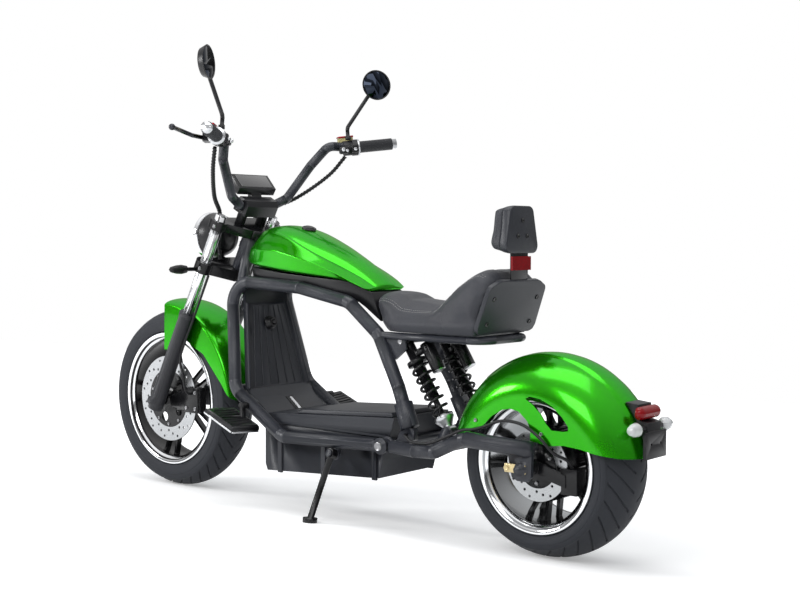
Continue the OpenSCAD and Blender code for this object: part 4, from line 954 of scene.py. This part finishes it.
def fuller(bm):
    """Widens the backrest's upper front, which the foam pushes out."""
    heights = [v.co.z for v in bm.verts]
    low, tall = min(heights) + FULL_MARGIN, max(heights) - min(heights) - 2 * FULL_MARGIN
    for vertex in bm.verts:
        up = unit((vertex.co.z - low) / tall)
        ahead = unit((vertex.co.x - REST_X) / (FRONT_DEEP - FRONT_TAPER * up))
        vertex.co.y *= 1 + FULL_WIDE * up * ahead
        vertex.co.x += FULL_AHEAD * up * ahead
    return bm


shell_bm = cut(fuller(solid("backrest")), False)
soften(shell_bm, 7.0, 50)
shell = piece(shell_bm, "backrest_shell", "frame", "seat_cover", "charcoal_moulding", recalc=False)
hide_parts("backrest")
pad_bm = swollen(cut(fuller(solid("backrest")), True), "pad_start", voxel=0.004, shrink=0.002,
                 cap=0.005, held=lambda p: p.x < CUT_X + HELD_DEEP)
pad = piece(pad_bm, "backrest_pad", "frame", "seat_cover", "seat_leather", smooth=80, recalc=False)
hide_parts("backrest")
print("backrest done")

# %% [markdown]
# ## Seat panel
# The moulded panel behind the seat has large round corners and a soft rim, which its solid lacks.
# It could be a block with all its edges bevelled, but corners and rim differ. So its outline is one
# face: the corners are bevelled as points, the face is extruded, and the rim is bevelled as edges.

# %% Seat panel
PANEL_X, PANEL_LEAN, PANEL_THICK = PIVOT_X - 269.3, 54 / 145, 12
PANEL_CORNER, PANEL_RIM = 26, 4
OUTLINE = [(-112, 9), (-126, 22), (-121, 128), (-84, 145), (84, 145), (121, 128), (126, 22),
           (112, 9)]
panel_out = Vector((-1, 0, -PANEL_LEAN)).normalized()


def on_panel(left, height):
    """A point of the seat's leaned rear face."""
    return Vector((PANEL_X - PANEL_LEAN * height, left, SEAT_LOW + height))


bm = bmesh.new()
bm.faces.new([bm.verts.new(on_panel(left, high)) for left, high in OUTLINE])
bevel(bm, bm.verts, PANEL_CORNER, segments=5, affect="VERTICES")
grown = bmesh.ops.extrude_face_region(bm, geom=bm.faces[:])["geom"]
bmesh.ops.translate(bm, vec=panel_out * PANEL_THICK, verts=points_of(grown))
outer = [f for f in grown if isinstance(f, bmesh.types.BMFace)]
bevel(bm, {e for f in outer for e in f.edges}, PANEL_RIM, segments=3)
panel = piece(bm, "seat_panel_skin", "frame", "charcoal_plastic", "charcoal_moulding", smooth=32)
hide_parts("seat_panel")
print("panel faces", len(panel.data.polygons))

# %% [markdown]
# ## Screws and bolts
# Cap screws hold the mouldings, discs, calipers and clamps. One could be modelled and copied, but
# they differ in size, so a function makes each: a drum with a bevelled head and a pushed-in socket,
# placed on a face of the CAD.

# %% Fittings' helpers
def seen_at(px, py, node):
    """The point and normal of a node under a pixel of the photograph, on the upright scooter."""
    ray = look * FOCAL + right * (px - WIDE / 2) - above * (py - HIGH / 2)
    bm = solid(node)
    tree = BVHTree.FromBMesh(bm)
    bm.free()
    at, normal = tree.ray_cast(UPRIGHT @ eye_at, (TURN.transposed() @ ray).normalized())[:2]
    if at is None:
        raise ValueError(f"no {node} under {px},{py}")
    return at, normal


def cylinder(bm, middle, out, r, high, sides):
    """Adds a closed cylinder and gives back its faces."""
    made = bmesh.ops.create_cone(bm, cap_ends=True, segments=sides, radius1=r, radius2=r,
                                 depth=high, matrix=axes_at(middle, out, out.orthogonal()))
    return {f for v in made["verts"] for f in v.link_faces}


def screw(bm, at, out, r, high, deep=0.45, sunk=0.4):
    """A cap screw: a short drum, its rim bevelled and a socket pushed into its face."""
    def outermost(faces):
        return max(faces, key=lambda f: f.calc_center_median().dot(out))

    top = outermost(cylinder(bm, at + out * (high / 2 - sunk), out, r, high, 20))
    rim = bevel(bm, top.edges, r * 0.16)
    lid = outermost({f for v in rim["verts"] for f in v.link_faces})
    bmesh.ops.inset_region(bm, faces=[lid], thickness=r * 0.38)
    bmesh.ops.translate(bm, vec=-out * high * deep, verts=list(lid.verts))


def drum(bm, at, out, r, high, corner):
    """A cylinder that stands on a point, with both rims rounded."""
    caps = [f for f in cylinder(bm, at + out * high / 2, out, r, high, 28) if len(f.verts) > 4]
    bevel(bm, {e for f in caps for e in f.edges}, corner)


def block(bm, axes, size, corner, at=(0, 0, 0)):
    """A block with rounded edges, at a place in the given axes."""
    place = axes @ Matrix.Translation(at) @ Matrix.Diagonal((*size, 1))
    made = bmesh.ops.create_cube(bm, size=1.0, matrix=place)["verts"]
    bevel(bm, {e for v in made for e in v.link_edges}, corner, segments=3)


def mirrored(bm):
    """Adds the other side's copy of everything in the mesh."""
    twin = bmesh.ops.duplicate(bm, geom=bm.verts[:] + bm.edges[:] + bm.faces[:])["geom"]
    bmesh.ops.scale(bm, vec=(1, -1, 1), verts=points_of(twin))


# %% Screws of the frame's body
LOOP_Y = 148
PANEL_SCREWS = [(93, 36), (-93, 36), (93, 100), (-93, 100)]
REST_SCREWS = [(0, 837), (20, 797), (-20, 797)]
SIDE_BOLTS = [((PIVOT_X - 18, 102, 519), 8), ((157, 122, 338), 5), ((-40, 123, 322), 5)]
PIVOT_NUT, AXLE_NUT = (PIVOT_X, LOOP_Y + 21.5, 247), (0, 143.3 + 15, REAR_R)
bm = bmesh.new()
for left, high in PANEL_SCREWS:
    screw(bm, on_panel(left, high) + panel_out * PANEL_THICK, panel_out, 6.5, 2.5)
for left, high in REST_SCREWS:
    screw(bm, Vector((REST_X, left, high)), Vector((-1, 0, 0)), 6, 2.5)
piece(bm, "moulding_screws", "frame", "black_plastic", "black_coat")
bm = bmesh.new()
for at, r in SIDE_BOLTS:
    screw(bm, Vector(at), LEFT, r, 3.5)
mirrored(bm)
for side in (1, -1):
    for (x, y, z), r, high in ((PIVOT_NUT, 12, 5), (AXLE_NUT, 10, 4)):
        screw(bm, Vector((x, side * y, z)), Vector((0, side, 0)), r, high)
piece(bm, "bright_bolts", "frame", "steel", "bolt_steel")
print("bolts placed")

# %% Bolts of the wheels and the fork
RAKE = radians(28)
STEER_UP = Vector((-sin(RAKE), 0, cos(RAKE)))
STEER_FWD = Vector((cos(RAKE), 0, sin(RAKE)))


def at_fork(forward, left, up):
    """A point given along the raked fork, from the front axle."""
    return Vector((WHEELBASE, left, FRONT_R)) + STEER_FWD * forward + STEER_UP * up


# For each disc: the outer face's y, the bolt circle's radius and the number of bolts.
DISC_BOLTS = (("rear", REAR_AXLE, 82, 44, 6), ("front", FRONT_AXLE, 62, 82, 10))
CALIPER_BOLTS, CALIPER_Y = [(1282, 262), (1282, 312), (1324, 262)], 78
CLAMP_LOW, CLAMP_TOP, CLAMP_Y, LEG_Y = 482, 625, 131, 104
for end, axle, face_y, ring, count in DISC_BOLTS:
    bm = bmesh.new()
    for turn in range(count):
        angle = 2 * pi * (turn + 0.5) / count
        x, z = axle[0] + ring * cos(angle), axle[2] + ring * sin(angle)
        screw(bm, Vector((x, face_y, z)), LEFT, 5, 3)
    piece(bm, end + "_disc_bolts", end + "_wheel", "steel", "bolt_steel")
bm = bmesh.new()
for x, z in CALIPER_BOLTS:
    screw(bm, Vector((x, CALIPER_Y, z)), LEFT, 6, 3)
for up in (CLAMP_LOW, CLAMP_TOP):
    for side in (1, -1):
        screw(bm, at_fork(-14, side * CLAMP_Y, up), Vector((0, side, 0)), 6, 4)
for side in (1, -1):
    screw(bm, at_fork(0, side * LEG_Y, CLAMP_TOP + 28), STEER_UP, 12, 3)
piece(bm, "fork_bolts", "fork", "steel", "bolt_steel")
print("disc bolts", sum(row[-1] for row in DISC_BOLTS))

# %% [markdown]
# ## Small fittings
# Lids, switches, knobs, a display, pedal rims and handles are the small things that make the parts
# look used and real. They could be drawn on the parts, but they stand out from them, so they are
# rounded blocks and drums in the axes of the part that carries them.

# %% Handlebar fittings
# Knobs: their place, radius, height and rounding. The key switch stands on the upper clamp.
KNOBS = [((-29, 4, -20), 6, 6, 1.5), ((-29, 8, -8), 4.5, 5, 1.2), ((-29, 6, 18), 5, 6, 1.2)]
KEY_SWITCH = [(13.8, 12, 15, 2), (28.6, 8, 4, 1)]
DISPLAY_AT, DISPLAY_SIZE = at_fork(23, 0, 759), (48, 126, 3)
bm = bmesh.new()
block(bm, perch_axes, (34, 5.4, 48), 1.8, at=(27, -36.4, 0))
mirrored(bm)
piece(bm, "fluid_lids", "fork", "black_plastic", "red_anodised")
bm = bmesh.new()
block(bm, perch_axes, (22, 26, 22), 4, at=(-19, 4, 18))
block(bm, perch_axes, (22, 22, 30), 5, at=(-18, 6, -16))
mirrored(bm)
piece(bm, "switch_pods", "fork", "black_plastic", "black_moulding")
bm = bmesh.new()
knob_out = perch_axes.to_3x3() @ Vector((-1, 0, 0))
for at, r, high, corner in KNOBS:
    drum(bm, perch_axes @ Vector(at), knob_out, r, high, corner)
mirrored(bm)
for up, r, high, corner in KEY_SWITCH:
    drum(bm, at_fork(-44, -62, CLAMP_TOP + up), STEER_UP, r, high, corner)
piece(bm, "switch_knobs", "fork", "steel", "cast_silver")
bm = bmesh.new()
slope = (STEER_FWD * 54 + STEER_UP * 20).normalized()
face_up = slope.cross(LEFT)
block(bm, axes_at(DISPLAY_AT + face_up * 0.6, face_up, slope), DISPLAY_SIZE, 1.2)
piece(bm, "display_screen", "fork", "black_plastic", "display_glass")
print("perch at", PERCH)

# %% [markdown]
# ## Pedal rims and axle adjusters
# A bright rim runs round each foot pedal, and a yellow zinc plate on each side sets where the rear
# wheel sits. They could be faces of the CAD with another finish, but they stand proud of it. So
# they are blocks in the pedal's tilted axes and on the axle's plate, mirrored to the other side.

# %% Pedal rims and axle adjusters
TUBE_R = 18
PEDAL_AT, PEDAL_WIDE, PEDAL_HALF = Vector((950, LOOP_Y + TUBE_R + 6, 272)), 104, 54
PEDAL_TILT, PEDAL_RISE, PLATE_OUT = radians(-22), radians(5), 145.3
pedal = (Matrix.Translation(PEDAL_AT) @ Matrix.Rotation(PEDAL_TILT, 4, "Y")
         @ Matrix.Rotation(PEDAL_RISE, 4, "X"))
bm = bmesh.new()
block(bm, pedal, (2 * PEDAL_HALF + 12, 3, 5), 1.2, at=(0, PEDAL_WIDE + 1.2, -7))
for end in (1, -1):
    block(bm, pedal, (3, PEDAL_WIDE, 5), 1.2, at=(end * (PEDAL_HALF + 9), PEDAL_WIDE / 2, -7))
mirrored(bm)
piece(bm, "pedal_rims", "frame", "steel", "cast_silver")
bm = bmesh.new()
block(bm, Matrix.Translation((18, PLATE_OUT + 2.5, REAR_R)), (62, 6, 22), 2)
screw(bm, Vector((42, PLATE_OUT + 5, REAR_R)), LEFT, 7, 4)
mirrored(bm)
piece(bm, "axle_adjusters", "frame", "steel", "zinc_yellow")
print("pedal at", PEDAL_AT)

# %% [markdown]
# ## Tank cap and floor handle
# The filler cap sits on the tank's ridge, and a handle lies in a well in the floor. Their places
# could be guessed, but a ray from the camera, through their place in the photograph, meets the CAD
# where they belong, and it also gives the direction in which they face.

# %% Tank cap and floor handle
CAP_PIXEL, HANDLE_PIXEL = (309, 229), (295, 403)
bm = bmesh.new()
at, out = seen_at(*CAP_PIXEL, "tank")
at = Vector((at.x, 0, at.z + 1.0))
drum(bm, at - out * 3, out, 21, 6, 1.5)
drum(bm, at + out * 2.5, out, 15, 3, 1.0)
piece(bm, "filler_cap", "frame", "black_plastic", "black_coat")
at, out = seen_at(*HANDLE_PIXEL, "floor_panel")
well = axes_at(at, out, Vector((1, 0, 0)))
bm = bmesh.new()
block(bm, well, (64, 30, 3), 1.2)
piece(bm, "handle_well", "frame", "black_plastic", "black_moulding")
bm = bmesh.new()
block(bm, well, (52, 10, 4), 1.6, at=(0, 0, 2.4))
piece(bm, "handle_bar", "frame", "steel", "cast_silver")
print("fittings done")

# %% [markdown]
# ## Hoses and looms
# The rear brake hose lies along the swingarm, the front one hangs down the left leg, and two looms
# come down from the handlebar. They could be meshes, but a curve with a round section bends evenly,
# and its length is easy to measure. Each follows the route of its solid.

# %% Hoses
HOSE_WIDE, LOOM_WIDE, ROUTE_GAP = 0.008, 0.0104, 9.0


def tube(name, path, r, roundness, body):
    """A round cable along parked points, ridden on a body."""
    line = bpy.data.curves.new(name, "CURVE")
    line.dimensions = "3D"
    line.bevel_depth = r
    line.bevel_resolution = roundness
    line.use_fill_caps = True
    spline = line.splines.new("POLY")
    spline.points.add(len(path) - 1)
    for point, place in zip(spline.points, path):
        point.co = (*place, 1)
    line.materials.append(FINISHES["cable_jacket"])
    made = add_object(name, line)
    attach(made, body)
    return made


def hose(name, route, wide, body, node):
    """A cord along a route on the upright scooter; gives back its parked path."""
    path = [PARKED @ p for p in dense([Vector(p) for p in route], ROUTE_GAP)]
    made = tube(name, path, wide / 2, 3, body)
    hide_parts(node)
    return path


rear_route = [(-104, 84, 241.5), (-96, 94, 261), (-74, 123, 281), (-44, 132, 313), (0, 131, 338),
              (40, 130, 346), (80, 131, 343), (120, 134, 327), (150, 140, 317), (185, 144, 312),
              (230, 144, 292), (290, 145, 268.5), (345, 146, 266), (366, 144, 276), (376, 138, 280),
              (376, 130.4, 280)]
front_route = [at_fork(-30.4, LEG_Y, up) for up in (464.6, 440, 310, 180)]
front_route += [(1308, 104, 370), (1304, 101, 332), (1304, 92, 312), (1304, 78.5, 308)]
loom_route = [PERCH + Vector((14, 4, -25)), Vector((1010, 235, 985)), Vector((1085, 165, 915)),
              at_fork(34, 84, 650), at_fork(32, 62, 600), at_fork(30, 45, 540), at_fork(9, 45, 512),
              at_fork(6, 45, 499.4)]
hose("rear_brake_hose", rear_route, HOSE_WIDE, "frame", "rear_hose")
hose("front_brake_hose", front_route, HOSE_WIDE, "fork", "front_cables")
looms = {side: hose(side + "_loom", route, LOOM_WIDE, "fork", "front_cables")
         for side, route in (("left", loom_route), ("right", [flipped(p) for p in loom_route]))}

# %% [markdown]
# ## Loom wraps
# A spiral band guards the wires of a loom. It could be a bump, but the loom's edge looks ribbed, so
# a second thin curve is wound round the first.

# %% Loom wraps
WRAP_R, WRAP_PITCH, WRAP_THICK, TURN_POINTS = 0.0054, 0.011, 0.0015, 10


def wrap(name, path):
    """A thin band wound round a loom."""
    run, coil, side = 0.0, [], (path[1] - path[0]).normalized().orthogonal()
    for a, b in zip(path, path[1:]):
        ahead, long = (b - a).normalized(), (b - a).length
        side = (side - ahead * side.dot(ahead)).normalized()
        steps = max(1, round(long / WRAP_PITCH * TURN_POINTS))
        for step in range(steps):
            angle = 2 * pi * (run + long * step / steps) / WRAP_PITCH
            out = side * cos(angle) + ahead.cross(side) * sin(angle)
            coil.append(a.lerp(b, step / steps) + WRAP_R * out)
        run += long
    tube(name, coil, WRAP_THICK, 1, "fork")
    print(name, len(coil), "points")


for side, path in looms.items():
    wrap(side + "_loom_wrap", path)
